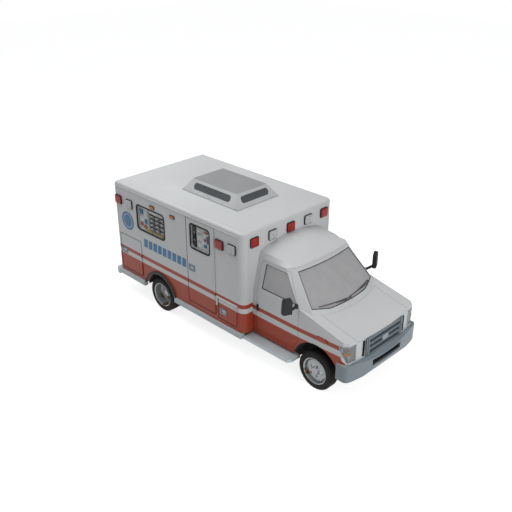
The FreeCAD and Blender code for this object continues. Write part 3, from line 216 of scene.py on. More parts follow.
@dataclass(frozen=True)
class Finish:
    """One real material and the process that made its surface. Pattern sizes are in millimetres."""

    name: str
    colour: str
    roughness: float
    metallic: float = 0.0
    ior: float = 1.5
    coat: float = 0.0
    transmission: float = 0.0
    mottle: float = 0.05
    mottle_mm: float = 300.0
    rough_spread: float = 0.08
    grain: Grain = Grain.PITS
    grain_mm: float = 4.0
    relief_mm: float = 0.1
    grime: float = 0.0
    grime_top: float = 0.90
    grime_foot: float = 0.25
    grime_colour: str = "6B655C"
    grime_roughness: float = 0.85
    worn: float = 0.0
    worn_colour: str = "8C8F91"
    worn_mm: float = 70.0

    def base(self, tree: bpy.types.NodeTree, place: bpy.types.NodeSocket) -> bpy.types.NodeSocket | None:
        """Gives a pattern of colour over the surface, or None where one colour covers it."""
        return None

    def relief(self, tree: bpy.types.NodeTree, place: bpy.types.NodeSocket) -> bpy.types.NodeSocket | None:
        """Gives the height pattern of the grain.

        Args:
            tree: the material's tree.
            place: the object coordinates.

        Returns:
            A height output, or None for a polished surface.
        """
        scale = 1000.0 / self.grain_mm
        if self.grain is Grain.NONE:
            return None
        if self.grain is Grain.BRUSHED:
            lines = add_node(tree, "Mapping", {"Vector": place, "Scale": (scale / 40.0, scale, scale)})
            return add_node(tree, "TexNoise", {"Vector": lines.outputs[0], "Scale": 1.0, "Detail": 3.0}).outputs[0]
        if self.grain is Grain.FLUTES:
            return add_node(tree, "TexWave", {"Vector": place, "Scale": scale / math.tau * 0.5, "Distortion": 0.0},
                            wave_type="BANDS", bands_direction="DIAGONAL").outputs["Fac"]
        if self.grain is Grain.CHEQUER:
            turned = add_node(tree, "Mapping", {"Vector": place, "Rotation": (0.0, 0.0, math.radians(45.0))})
            return add_node(tree, "TexVoronoi", {"Vector": turned.outputs[0], "Scale": scale, "Randomness": 0.0},
                            distance="CHEBYCHEV").outputs["Distance"]
        if self.grain is Grain.HIDE:
            return add_node(tree, "TexVoronoi", {"Vector": place, "Scale": scale},
                            feature="SMOOTH_F1").outputs["Distance"]
        detail = 1.0 if self.grain is Grain.PEEL else 4.0
        return add_node(tree, "TexNoise", {"Vector": place, "Scale": scale, "Detail": detail}).outputs[0]

    def build(self) -> bpy.types.Material:
        """Makes the material once, and gives the same one after that.

        Returns:
            The node material.
        """
        made = bpy.data.materials.get(self.name)
        if made:
            return made
        made = bpy.data.materials.new(self.name)
        tree = empty_tree(made)
        place = add_node(tree, "TexCoord").outputs["Object"]
        cloud = add_node(tree, "TexNoise", {"Vector": place, "Scale": 1000.0 / self.mottle_mm, "Detail": 3.0})
        tone = add_node(tree, "MapRange", {"Value": cloud.outputs[0], "From Min": 0.3, "From Max": 0.7,
                                           "To Min": 1.0 - self.mottle, "To Max": 1.0 + self.mottle})
        ground = self.base(tree, place)
        colour = add_node(tree, "VectorMath", {0: ground or linear(self.colour)[:3], "Scale": tone.outputs[0]},
                          operation="SCALE").outputs[0]
        rough = add_node(tree, "MapRange", {"Value": cloud.outputs[0], "From Min": 0.3, "From Max": 0.7,
                                            "To Min": max(self.roughness - self.rough_spread, 0.02),
                                            "To Max": min(self.roughness + self.rough_spread, 1.0)}).outputs[0]
        if self.grime:
            colour, rough = self.dirtied(tree, place, colour, rough)
        if self.worn:
            patches = add_node(tree, "TexNoise", {"Vector": place, "Scale": 1000.0 / self.worn_mm, "Detail": 5.0})
            share = add_node(tree, "MapRange", {"Value": patches.outputs[0], "From Min": 0.74 - 0.3 * self.worn,
                                                "From Max": 0.78 - 0.3 * self.worn})
            colour = add_node(tree, "Mix", {0: share.outputs[0], 6: colour, 7: linear(self.worn_colour)},
                              data_type="RGBA").outputs[2]
        skin = add_node(tree, "BsdfPrincipled", {"Base Color": colour, "Roughness": rough, "Metallic": self.metallic})
        if not self.metallic:
            skin.inputs["IOR"].default_value = self.ior
        for socket, value in (("Coat Weight", self.coat), ("Transmission Weight", self.transmission)):
            if value:
                skin.inputs[socket].default_value = value
        height = self.relief(tree, place)
        if height:
            bump = add_node(tree, "Bump", {"Height": height, "Strength": 0.6, "Distance": self.relief_mm / 1000.0})
            tree.links.new(bump.outputs[0], skin.inputs["Normal"])
        add_node(tree, "OutputMaterial", {"Surface": skin.outputs[0]})
        return made

    def dirtied(self, tree: bpy.types.NodeTree, place: bpy.types.NodeSocket, colour: bpy.types.NodeSocket,
                rough: bpy.types.NodeSocket) -> tuple[bpy.types.NodeSocket, bpy.types.NodeSocket]:
        """Lays road film on the lower part of a surface, thicker towards the ground.

        Args:
            tree: the material's tree.
            place: the object coordinates.
            colour: the clean colour.
            rough: the clean roughness.

        Returns:
            The colour and roughness with the film on.
        """
        height = add_node(tree, "SeparateXYZ", {"Vector": place}).outputs["Z"]
        splash = add_node(tree, "TexNoise", {"Vector": place, "Scale": 6.0, "Detail": 5.0})
        low = add_node(tree, "MapRange", {"Value": height, "From Min": self.grime_foot, "From Max": self.grime_top,
                                          "To Min": self.grime, "To Max": 0.0})
        film = add_node(tree, "Math", {0: low.outputs[0], 1: splash.outputs[0]}, operation="MULTIPLY", use_clamp=True)
        dirty = add_node(tree, "Mix", {0: film.outputs[0], 6: colour, 7: linear(self.grime_colour)}, data_type="RGBA")
        dull = add_node(tree, "Mix", {0: film.outputs[0], 2: rough, 3: self.grime_roughness})
        return dirty.outputs[2], dull.outputs[0]


@dataclass(frozen=True)
class Livery(Finish):
    """Coach enamel with a thin line over a broad band, both sprayed in red over the white."""

    red: str = "9C3B23"
    broad_top: float = 0.940
    thin_low: float = 1.040
    thin_top: float = 1.125
    thin_end: float = 9.0
    rise_from: float = 9.0
    rise: float = 0.0
    point_at: float = 9.0
    point_slope: float = 0.0

    def base(self, tree: bpy.types.NodeTree, place: bpy.types.NodeSocket) -> bpy.types.NodeSocket | None:
        """Gives the striped colour from the height, which the bands follow as they rise to the nose.

        Args:
            tree: the material's tree.
            place: the object coordinates, which are the frame's metres.

        Returns:
            The striped colour.
        """
        parts = add_node(tree, "SeparateXYZ", {"Vector": place}).outputs
        ahead = add_node(tree, "Math", {0: parts["X"], 1: self.rise_from}, operation="SUBTRACT")
        lifted = add_node(tree, "Math", {0: ahead.outputs[0], 1: 0.0}, operation="MAXIMUM")
        height = add_node(tree, "Math", {0: lifted.outputs[0], 1: -self.rise, 2: parts["Z"]},
                          operation="MULTIPLY_ADD").outputs[0]
        broad = add_node(tree, "Math", {0: height, 1: self.broad_top}, operation="LESS_THAN")
        slant = add_node(tree, "Math", {0: parts["Z"], 1: self.point_slope, 2: parts["X"]}, operation="MULTIPLY_ADD")
        behind = add_node(tree, "Math", {0: slant.outputs[0], 1: self.point_at}, operation="LESS_THAN")
        kept = add_node(tree, "Math", {0: broad.outputs[0], 1: behind.outputs[0]}, operation="MULTIPLY")
        over = add_node(tree, "Math", {0: height, 1: self.thin_low}, operation="GREATER_THAN")
        under = add_node(tree, "Math", {0: height, 1: self.thin_top}, operation="LESS_THAN")
        ended = add_node(tree, "Math", {0: parts["X"], 1: self.thin_end}, operation="LESS_THAN")
        under = add_node(tree, "Math", {0: under.outputs[0], 1: ended.outputs[0]}, operation="MULTIPLY")
        share = add_node(tree, "Math", {0: over.outputs[0], 1: under.outputs[0], 2: kept.outputs[0]},
                         operation="MULTIPLY_ADD")
        return add_node(tree, "Mix", {0: share.outputs[0], 6: linear(self.colour), 7: linear(self.red)},
                        data_type="RGBA").outputs[2]


@dataclass(frozen=True)
class Lidded(Finish):
    """One moulding in two tones split at a height; on the bumper the paler top is a painted highlight."""

    lid: str = "8F9193"
    lid_from: float = 2.8085

    def base(self, tree: bpy.types.NodeTree, place: bpy.types.NodeSocket) -> bpy.types.NodeSocket | None:
        """Gives the lid's tone above its edge and the shell's below.

        Args:
            tree: the material's tree.
            place: the object coordinates, which are the frame's metres.

        Returns:
            The two-toned colour.
        """
        height = add_node(tree, "SeparateXYZ", {"Vector": place}).outputs["Z"]
        above = add_node(tree, "Math", {0: height, 1: self.lid_from}, operation="GREATER_THAN")
        return add_node(tree, "Mix", {0: above.outputs[0], 6: linear(self.colour), 7: linear(self.lid)},
                        data_type="RGBA").outputs[2]


@dataclass(frozen=True)
class RustedPaint(Finish):
    """Silver wheel enamel that has blistered to rust in a few patches."""

    rust: str = "6E4A32"
    fresh_rust: str = "8A6A4C"
    patch_mm: float = 190.0
    share: float = 0.590

    def base(self, tree: bpy.types.NodeTree, place: bpy.types.NodeSocket) -> bpy.types.NodeSocket | None:
        """Gives silver with brown patches that have ragged edges.

        Args:
            tree: the material's tree.
            place: the object coordinates, which are the frame's metres.

        Returns:
            The patched colour.
        """
        patch = add_node(tree, "TexNoise", {"Vector": place, "Scale": 1000.0 / self.patch_mm, "Detail": 6.0,
                                            "Roughness": 0.6})
        mask = add_node(tree, "MapRange", {"Value": patch.outputs[0], "From Min": self.share,
                                           "From Max": self.share + 0.03})
        speck = add_node(tree, "TexNoise", {"Vector": place, "Scale": 160.0, "Detail": 3.0})
        rust = add_node(tree, "Mix", {0: speck.outputs[0], 6: linear(self.rust), 7: linear(self.fresh_rust)},
                        data_type="RGBA")
        return add_node(tree, "Mix", {0: mask.outputs[0], 6: linear(self.colour), 7: rust.outputs[2]},
                        data_type="RGBA").outputs[2]


@dataclass(frozen=True)
class Glazing(Finish):
    """Clear or tinted sheet that light passes straight through, as a thin pane in a wide opening does."""

    tint: str = "8F9396"
    see_through: float = 0.5

    def build(self) -> bpy.types.Material:
        """Makes a pane from a glossy face over a tinted straight-through layer.

        Returns:
            The node material.
        """
        made = bpy.data.materials.get(self.name)
        if made:
            return made
        made = bpy.data.materials.new(self.name)
        tree = empty_tree(made)
        place = add_node(tree, "TexCoord").outputs["Object"]
        film = add_node(tree, "TexNoise", {"Vector": place, "Scale": 1000.0 / self.mottle_mm, "Detail": 4.0})
        haze = add_node(tree, "MapRange", {"Value": film.outputs[0], "From Min": 0.3, "From Max": 0.7,
                                           "To Min": self.see_through + 0.05, "To Max": self.see_through - 0.05})
        rough = add_node(tree, "MapRange", {"Value": film.outputs[0], "To Min": self.roughness,
                                            "To Max": self.roughness + self.rough_spread})
        skin = add_node(tree, "BsdfPrincipled", {"Base Color": linear(self.colour), "Roughness": rough.outputs[0],
                                                 "IOR": self.ior})
        through = add_node(tree, "BsdfTransparent", {"Color": linear(self.tint)})
        both = add_node(tree, "MixShader", {0: haze.outputs[0], 1: skin.outputs[0], 2: through.outputs[0]})
        add_node(tree, "OutputMaterial", {"Surface": both.outputs[0]})
        return made


# ---------------------------------------------------------------- the finishes
# The grain of moulded, cast and painted skins is under 2 mm on the real thing. It is drawn at 5 to 20 mm,
# as coarse as it takes to show.
#
# Sprayed coach enamel: an even, soft gloss whose orange peel, drawn at 30 mm where the real one is 2 mm,
# so that it shows, breaks up the reflections. Road film dulls the lowest panels.
COACH_SPRAY = dict(colour="C6C8C9", roughness=0.42, ior=1.40, mottle=0.025, mottle_mm=900.0, rough_spread=0.05,
                   grain=Grain.PEEL, grain_mm=30.0, relief_mm=0.12)
ENAMEL = Finish("white_coach_enamel_sprayed", **COACH_SPRAY)
BOX_LIVERY = Livery("striped_coach_enamel_on_box", **COACH_SPRAY, grime=0.35)
CAB_LIVERY = Livery("striped_coach_enamel_on_cab", **COACH_SPRAY, grime=0.35, broad_top=0.885, thin_low=1.000,
                    thin_top=1.085, rise_from=FRONT_AXLE - 0.43, rise=0.0376, point_slope=0.718,
                    point_at=FRONT_AXLE + 0.495 + 0.718 * 0.957, thin_end=FRONT_AXLE + 0.575)
# Satin powder coat on steel: a blue-grey, slightly grainy skin. Above the deck's edge it is drawn paler, a painted
# highlight on the bumper's top face.
BUMPER_COAT = Lidded("blue_grey_powder_coat_baked", "768188", 0.40, mottle=0.05, grain_mm=14.0, relief_mm=0.08,
                     lid="8E9AA1", lid_from=0.786)
# Painted ABS: the same blue-grey as the bumper, a shade darker, so the grille reads as one moulding.
GRILLE_COAT = Finish("blue_grey_abs_painted", "69747B", 0.42, mottle=0.05, grain_mm=12.0, relief_mm=0.1)
# Powder coat on the rub rails: paler, half matt, with splashed film low down.
RAIL_COAT = Finish("pale_blue_grey_powder_coat_baked", "B2BCC1", 0.42, mottle=0.05, grain_mm=14.0, relief_mm=0.1,
                   grime=0.3, grime_top=0.7)
# Chequer plate, rolled: pale metal whose lozenges, drawn at 42 mm for a real 30 mm, catch the light.
TREAD_COAT = Finish("blue_grey_chequered_aluminium_rolled", "C4CED3", 0.46, metallic=0.15, mottle=0.05,
                    grain=Grain.CHEQUER, grain_mm=42.0, relief_mm=1.2, grime=0.25, grime_top=0.6)
# Chassis black: brushed on thick, dusty and half matt, with scale showing where stones have hit it.
CHASSIS_BLACK = Finish("black_chassis_enamel_brushed", "2A2B2D", 0.62, mottle=0.18, grain_mm=18.0, relief_mm=0.4,
                       grime=0.9, worn=0.25, worn_colour="4A4038")
# Sand-cast iron: a dark, rough skin with brown where it has rusted.
CAST_IRON = Finish("grey_iron_sand_cast", "4B4B4C", 0.66, metallic=0.6, mottle=0.14, grain_mm=9.0, relief_mm=0.5,
                   grime=0.6, worn=0.4, worn_colour="5A4434")
# Rolled exhaust steel: a warm grey, drawn lengthwise and browned by heat.
TUBE_STEEL = Finish("exhaust_steel_rolled", "7C756C", 0.46, metallic=0.9, mottle=0.16, grain=Grain.BRUSHED,
                    grain_mm=6.0, relief_mm=0.1, grime=0.6, worn=0.45, worn_colour="5E4433")
# Moulded ABS in grey: dull, with a fine spark-eroded texture.
GREY_ABS = Finish("grey_abs_moulded", "9FA6AB", 0.45, mottle=0.03, grain_mm=10.0, relief_mm=0.08)
# Glass fibre, moulded: a pale shell with a greyer lid above its top edge.
AIR_UNIT_SHELL = Lidded("pale_glass_fibre_moulded", "BABCBD", 0.48, mottle=0.04, grain=Grain.PEEL, grain_mm=35.0,
                        relief_mm=0.3)
# Moulded ABS in black: near black, half matt, with dust on it low down.
BLACK_ABS = Finish("black_abs_moulded", "222426", 0.55, ior=1.38, mottle=0.08, grain_mm=9.0, relief_mm=0.25,
                   grime=0.25)
# Needled felt: quite dull and soft, so the arches stay dark and plain.
LINER_FELT = Finish("charcoal_wheel_liner_felted", "3A393A", 0.92, ior=1.35, mottle=0.14, grain_mm=10.0,
                    relief_mm=0.4, grime=0.3)
# Painted wiper steel: dark grey, half matt, so thin arms stay visible on the glass.
WIPER_COAT = Finish("grey_wiper_steel_painted", "47484A", 0.55, mottle=0.06, grain_mm=8.0, relief_mm=0.05)
# Extruded rubber: charcoal and dull, a little paler than the tyre.
FLARE_RUBBER = Finish("charcoal_rubber_extruded", "3B3B3C", 0.62, ior=1.38, mottle=0.08, grain_mm=12.0, relief_mm=0.2,
                      grime=0.3)
# Near-black paint: the fins, mesh and gauge faces, and painted shade where a black backing or flat plate stands for
# the shadow in a slot, recess, vent or keyhole.
BLACK_AND_RECESS_SHADE = Finish("black_pressed_mesh_painted", "101213", 0.85, ior=1.35, mottle=0.10, grain_mm=14.0, relief_mm=0.3)
# Extruded EPDM: a black, dull line round each opening.
SEAL_RUBBER = Finish("black_epdm_extruded", "191A1B", 0.70, ior=1.38, mottle=0.08, grain_mm=8.0, relief_mm=0.1)
# Tyre rubber, moulded: near black, dull, browner and paler low down where dust holds to it.
TYRE_RUBBER = Finish("tyre_rubber_moulded", "121314", 0.80, ior=1.35, mottle=0.12, mottle_mm=120.0, grain_mm=7.0,
                     relief_mm=0.4, grime=0.22, grime_top=0.8)
# Wheel enamel: silver with ragged rust blisters, a satin metallic look.
RIM_PAINT = RustedPaint("silver_wheel_enamel_blistered", "A4A7A9", 0.40, metallic=0.50, mottle=0.06, mottle_mm=120.0,
                        grain_mm=12.0, relief_mm=0.15)
# Polished stainless steel: bright, with a fine lengthwise draw.
BRIGHT_STEEL = Finish("stainless_steel_polished", "B4B6B8", 0.22, metallic=1.0, mottle=0.03, grain=Grain.BRUSHED,
                      grain_mm=5.0, relief_mm=0.03)
# Barrel-plated zinc: a pale, slightly cloudy metal.
ZINC = Finish("zinc_plated_steel_barrelled", "9C9F9E", 0.42, metallic=1.0, mottle=0.08, grain_mm=6.0, relief_mm=0.08)
# Mill-rolled aluminium: pale metal, satin along the roll.
MILL_ALLOY = Finish("aluminium_sheet_mill_rolled", "A9ACAE", 0.36, metallic=0.9, mottle=0.05, grain=Grain.BRUSHED,
                    grain_mm=7.0, relief_mm=0.06)
# Cast vinyl film: an even blue with the enamel's own soft gloss.
BLUE_FILM = Finish("blue_vinyl_film_cast", "1F6490", 0.40, mottle=0.05, mottle_mm=260.0, grain=Grain.PEEL,
                   grain_mm=20.0, relief_mm=0.05)
# Moulded polycarbonate lenses: clean, glossy colour broken by upright flutes drawn at 10 to 16 mm, so that
# they show, where real ones are 3 mm. The headlight's is greyed by haze.
RED_LENS = Finish("red_polycarbonate_moulded", "A51815", 0.28, ior=1.42, mottle=0.10, mottle_mm=90.0,
                  transmission=0.15, grain=Grain.FLUTES, grain_mm=14.0, relief_mm=0.9)
AMBER_LENS = Finish("amber_polycarbonate_moulded", "B9761F", 0.28, ior=1.42, mottle=0.08, mottle_mm=60.0,
                    transmission=0.15, grain=Grain.FLUTES, grain_mm=12.0, relief_mm=0.7)
CLEAR_LENS = Finish("clear_polycarbonate_moulded", "C6C7C8", 0.28, ior=1.42, mottle=0.06, mottle_mm=90.0,
                    transmission=0.2, grain=Grain.FLUTES, grain_mm=14.0, relief_mm=0.9)
HEADLAMP_LENS = Finish("hazed_polycarbonate_moulded", "787574", 0.26, ior=1.42, mottle=0.10, mottle_mm=70.0,
                       grain=Grain.FLUTES, grain_mm=16.0, relief_mm=0.9)
# Aluminised bowl: a grey, fluted mirror behind the headlight's lens.
REFLECTOR = Finish("reflector_bowl_aluminised", "7F888E", 0.30, metallic=0.85, mottle=0.10, mottle_mm=60.0,
                   grain=Grain.FLUTES, grain_mm=22.0, relief_mm=1.2)
# Laminated and toughened safety glass. The windshield and cab door glass are mostly a grey face: painted
# reflection and painted shade of the dim cab behind. The box's glass is nearly clear; a faint cloud varies the
# see-through.
SAFETY_GLASS = Glazing("tinted_safety_glass_floated", "B7B6B8", 0.10, ior=1.52, mottle_mm=240.0, tint="C4C6C8",
                       see_through=0.20)
SIDE_GLASS = Glazing("clear_safety_glass_floated", "8A8D90", 0.05, ior=1.52, mottle_mm=240.0, tint="FCFDFD",
                     see_through=0.95)
# The latches and small castings: zinc under a thin blue-grey coat, half matt.
PADDLE_COAT = Finish("blue_grey_zinc_diecast_coated", "8B989F", 0.40, metallic=0.3, mottle=0.08, mottle_mm=60.0,
                     grain_mm=8.0, relief_mm=0.1)
# Slate ABS: dull grey slats that stay darker than the shell round them. In the latches it is a flat plate of
# painted shade inside each tray.
LOUVRE_GREY = Finish("slate_abs_louvres_moulded", "585C5F", 0.55, mottle=0.08, grain_mm=10.0, relief_mm=0.15)
# Red acrylic: deeper and glossier than the lamps.
MARKER_RED = Finish("red_acrylic_moulded", "A8221B", 0.25, ior=1.45, mottle=0.06, mottle_mm=60.0, grain=Grain.FLUTES,
                    grain_mm=10.0, relief_mm=0.5)
# Silvered glass: a clean mirror.
MIRROR_GLASS = Finish("silvered_glass_flat", "B8BDC0", 0.04, metallic=1.0, mottle=0.02, grain=Grain.NONE)
# Embossed vinyl: navy, with a hide grain drawn at 7 mm for a real 2 mm.
SEAT_VINYL = Finish("navy_vinyl_embossed", "2B3442", 0.52, mottle=0.08, mottle_mm=90.0, grain=Grain.HIDE,
                    grain_mm=7.0, relief_mm=0.35)
# Woven cloth: grey, quite dull, with a 5 mm rib.
SEAT_CLOTH = Finish("grey_ribbed_cloth_woven", "4A4E54", 0.85, mottle=0.10, mottle_mm=60.0, grain_mm=5.0,
                    relief_mm=0.3)
# Sheet vinyl: speckled grey, half matt.
FLOOR_VINYL = Finish("grey_sheet_vinyl_calendered", "6C7072", 0.55, mottle=0.10, mottle_mm=40.0, grain_mm=8.0,
                     relief_mm=0.15)
# Pressed laminate: white, smooth and slightly glossy.
LAMINATE = Finish("white_laminate_pressed", "DEDEDA", 0.30, mottle=0.03, grain_mm=10.0, relief_mm=0.04)
# Extruded PVC, cast acrylic and moulded ABS: the plain colours of the fittings inside.
YELLOW_TRIM = Finish("yellow_pvc_extruded", "C9A93A", 0.42, mottle=0.06, grain=Grain.PEEL, grain_mm=15.0)
DARK_BIN = Finish("smoked_acrylic_cast", "2F3335", 0.20, mottle=0.10, mottle_mm=80.0, coat=0.3, grain=Grain.NONE)
RED_TRIM = Finish("red_abs_moulded", "B03A34", 0.40, mottle=0.06, grain_mm=8.0)


# ---------------------------------------------------------------- mesh building
def rounded_outline(centre: Flat, size: Flat, radius: float, steps: int = 5) -> list[Flat]:
    """Gives a rectangle with round corners, anticlockwise.

    Args:
        centre: its middle.
        size: its full width and height.
        radius: the corner radius.
        steps: segments in each corner.

    Returns:
        The outline's points.
    """
    half_w, half_h = size[0] / 2 - radius, size[1] / 2 - radius
    corners = ((half_w, half_h, 0.0), (-half_w, half_h, 90.0), (-half_w, -half_h, 180.0), (half_w, -half_h, 270.0))
    return [(centre[0] + cx + radius * math.cos(math.radians(start + 90.0 * i / steps)),
             centre[1] + cy + radius * math.sin(math.radians(start + 90.0 * i / steps)))
            for cx, cy, start in corners for i in range(steps + 1)]


def scaled_outline(outline: Sequence[Flat], inset: float) -> list[Flat]:
    """Moves an outline towards its middle, by the same amount at the ends of its width and height.

    Args:
        outline: the closed outline.
        inset: how far each side moves in; below zero it moves out.

    Returns:
        The new outline, point for point.
    """
    lows = [min(p[k] for p in outline) for k in (0, 1)]
    highs = [max(p[k] for p in outline) for k in (0, 1)]
    return [tuple((lows[k] + highs[k]) / 2 + (p[k] - (lows[k] + highs[k]) / 2)
                  * (1.0 - 2.0 * inset / max(highs[k] - lows[k], 1e-6)) for k in (0, 1)) for p in outline]


class Shape:
    """Gathers the faces of one piece, then puts it on a body of the frame."""

    def __init__(self, name: str, finish: Finish) -> None:
        """Starts an empty piece with its first finish.

        Args:
            name: the piece's name.
            finish: the finish of its first faces.
        """
        self.name = name
        self.mesh = bmesh.new()
        self.finishes: list[Finish] = [finish]
        self.current = 0

    def use(self, finish: Finish) -> Shape:
        """Sets the finish of the faces that follow.

        Args:
            finish: the finish.

        Returns:
            This shape.
        """
        if finish not in self.finishes:
            self.finishes.append(finish)
        self.current = self.finishes.index(finish)
        return self

    def face(self, corners: Sequence[bmesh.types.BMVert]) -> None:
        """Adds one face in the current finish."""
        self.mesh.faces.new(corners).material_index = self.current

    def loft(self, loops: Sequence[Sequence[Point]], closed: bool = True, capped: bool = True,
             joined: bool = False) -> Shape:
        """Skins a row of loops that have the same number of points.

        Args:
            loops: the loops in order.
            closed: whether each loop closes on itself.
            capped: whether the first and last loops are filled.
            joined: whether the last loop joins the first.

        Returns:
            This shape.
        """
        rows = [[self.mesh.verts.new(p) for p in loop] for loop in loops]
        pairs = list(zip(rows, rows[1:])) + ([(rows[-1], rows[0])] if joined else [])
        count = len(rows[0])
        for low, high in pairs:
            for i in range(count if closed else count - 1):
                j = (i + 1) % count
                self.face((low[i], low[j], high[j], high[i]))
        if capped and closed and not joined:
            self.face(rows[0][::-1])
            self.face(rows[-1])
        return self

    def prism(self, outline: Sequence[Flat], face: Face, low: float, high: float) -> Shape:
        """Extrudes an outline between two distances out of a face."""
        return self.loft([[face.point(out, *p) for p in outline] for out in (low, high)])

    def block(self, low: Point, high: Point) -> Shape:
        """Adds a box between any two opposite corners.

        Args:
            low: one corner.
            high: the opposite corner.

        Returns:
            This shape.
        """
        low, high = zip(*(sorted(pair) for pair in zip(low, high)))
        return self.prism([(low[0], low[1]), (high[0], low[1]), (high[0], high[1]), (low[0], high[1])], UPWARD,
                          low[2], high[2])

    def pad(self, outline: Sequence[Flat], face: Face, base: float, top: float, round_off: float) -> Shape:
        """Adds a plate whose far face is rounded over at its edge.

        Args:
            outline: its outline across the face.
            face: the face that it stands on.
            base: how far out its hidden face is.
            top: how far out its far face is.
            round_off: the radius of its edge.

        Returns:
            This shape.
        """
        foot, head = face.off(base), face.off(top)
        way = 1.0 if head > foot else -1.0
        turns = [math.radians(a) for a in (0, 30, 60, 90)]
        stages = [(0.0, foot)] + [(round_off * (1 - math.cos(a)), head - way * round_off * (1 - math.sin(a)))
                                  for a in turns]
        return self.loft([[face.axis.point(at, *p) for p in scaled_outline(outline, inset)] for inset, at in stages])

    def tile(self, centre: Flat, size: Flat, corner: float, face: Face, base: float, top: float,
             round_off: float) -> Shape:
        """Adds a pad on a round-cornered rectangle."""
        return self.pad(rounded_outline(centre, size, corner), face, base, top, round_off)

    def ring(self, outer: Sequence[Flat], inner: Sequence[Flat], face: Face, low: float, high: float) -> Shape:
        """Adds a flat frame between two outlines with the same number of points."""
        return self.loft([[face.point(out, *p) for p in outline] for outline, out in
                          ((outer, low), (outer, high), (inner, high), (inner, low))], capped=False, joined=True)

    def tube(self, path: Sequence[Point], radius: float, sides: int = 10, closed: bool = False,
             flatten: float = 1.0) -> Shape:
        """Sweeps a round or flattened section along a path.

        Args:
            path: the points that it follows.
            radius: the section's radius.
            sides: the section's sides.
            closed: whether the path is a loop.
            flatten: the section's thickness over its width, across the frame's Z.

        Returns:
            This shape.
        """
        points = [Vector(p) for p in path]
        count = len(points)
        loops = []
        side = None
        for i, here in enumerate(points):
            before = points[i - 1] if closed or i else here
            after = points[(i + 1) % count] if closed or i + 1 < count else here
            along = (after - before).normalized()
            if side is None:
                side = along.orthogonal().normalized()
            side = (side - along * side.dot(along)).normalized()
            up = along.cross(side)
            loops.append([here + side * (radius * math.cos(math.tau * k / sides))
                          + up * (radius * flatten * math.sin(math.tau * k / sides)) for k in range(sides)])
        return self.loft(loops, capped=not closed, joined=closed)

    def disc(self, centre: Point, axis: Axis, radius: float, low: float, high: float, sides: int = 24,
             chamfer: float = 0.0) -> Shape:
        """Adds a round bar or bolt head along an axis, with its far edge chamfered.

        Args:
            centre: the point that it is set from.
            axis: the way that it runs.
            radius: its radius.
            low: where it starts, from the centre.
            high: where its far face is.
            sides: its sides.
            chamfer: the width broken off its far edge.

        Returns:
            This shape.
        """
        way = 1.0 if high > low else -1.0
        stages = [(low, radius), (high - way * chamfer, radius), (high, radius - chamfer)] if chamfer else \
            [(low, radius), (high, radius)]
        return self.loft([[Vector(centre) + Vector(axis.point(at, r * math.cos(math.tau * k / sides),
                                                              r * math.sin(math.tau * k / sides)))
                           for k in range(sides)] for at, r in stages])

    def place(self, slot: str, body: str = "chassis", replaces: Iterable[str] = (), bevel: float = 0.0,
              smooth: float = 35.0) -> bpy.types.Object:
        """Closes the piece, gives it its finishes and sets it on a body.

        Args:
            slot: the record's material slot; not used.
            body: the body that it moves with.
            replaces: CAD nodes that it stands for.
            bevel: the radius broken on its sharp edges.
            smooth: the angle below which edges shade as one surface.

        Returns:
            The object.
        """
        bmesh.ops.recalc_face_normals(self.mesh, faces=self.mesh.faces)
        data = bpy.data.meshes.new(self.name)
        self.mesh.to_mesh(data)
        self.mesh.free()
        for finish in self.finishes:
            data.materials.append(finish.build())
        data.polygons.foreach_set("use_smooth", [True] * len(data.polygons))
        data.set_sharp_from_angle(angle=math.radians(smooth))
        made = add_object(self.name, data)
        if bevel:
            edge = made.modifiers.new("edge", "BEVEL")
            edge.width, edge.segments, edge.limit_method = bevel, 2, "ANGLE"
            edge.angle_limit = math.radians(40.0)
            edge.harden_normals = True
        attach(made, body)
        if replaces:
            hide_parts(*replaces)
        return made


class Skin:
    """The outer surface of some CAD nodes, on which lines and plates are laid."""

    def __init__(self, *nodes: str) -> None:
        """Gathers the nodes' triangles for ray casting.

        Args:
            nodes: the CAD nodes' names.
        """
        points: list[Vector] = []
        faces: list[list[int]] = []
        for name in nodes:
            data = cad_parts[name].data
            start = len(points)
            points += [v.co.copy() for v in data.vertices]
            faces += [[start + i for i in p.vertices] for p in data.polygons]
        self.tree = BVHTree.FromPolygons(points, faces)

    def on(self, start: Point, way: Point, lift: float = 0.0) -> Vector | None:
        """Finds where a ray meets the skin.

        Args:
            start: where the ray starts.
            way: its direction.
            lift: how far off the skin the point is set, back along the ray.

        Returns:
            The point, or None where the ray meets nothing.
        """
        direction = Vector(way).normalized()
        hit = self.tree.ray_cast(Vector(start), direction)[0]
        return None if hit is None else hit - direction * lift

    def along(self, path: Sequence[Point], way: Point, lift: float = 0.0, step: float = 0.05,
              closed: bool = False) -> list[Vector]:
        """Lays a path on the skin.

        Args:
            path: the corners of the path.
            way: the direction in which they are pushed to the skin.
            lift: how far off the skin the line runs.
            step: the longest distance between points.
            closed: whether the path closes.

        Returns:
            The points found, in order.
        """
        corners = [Vector(p) for p in path] + ([Vector(path[0])] if closed else [])
        found = []
        for here, there in zip(corners, corners[1:]):
            count = max(1, math.ceil((there - here).length / step))
            found += [self.on(here.lerp(there, i / count), way, lift) for i in range(count)]
        if not closed:
            found.append(self.on(corners[-1], way, lift))
        return [p for p in found if p is not None]


def repaint(finish: Finish, *nodes: str) -> None:
    """Gives CAD nodes a finish in all their material slots.

    Args:
        finish: the finish.
        nodes: the nodes' names.
    """
    for name in nodes:
        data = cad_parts[name].data
        data.materials.clear()
        data.materials.append(finish.build())


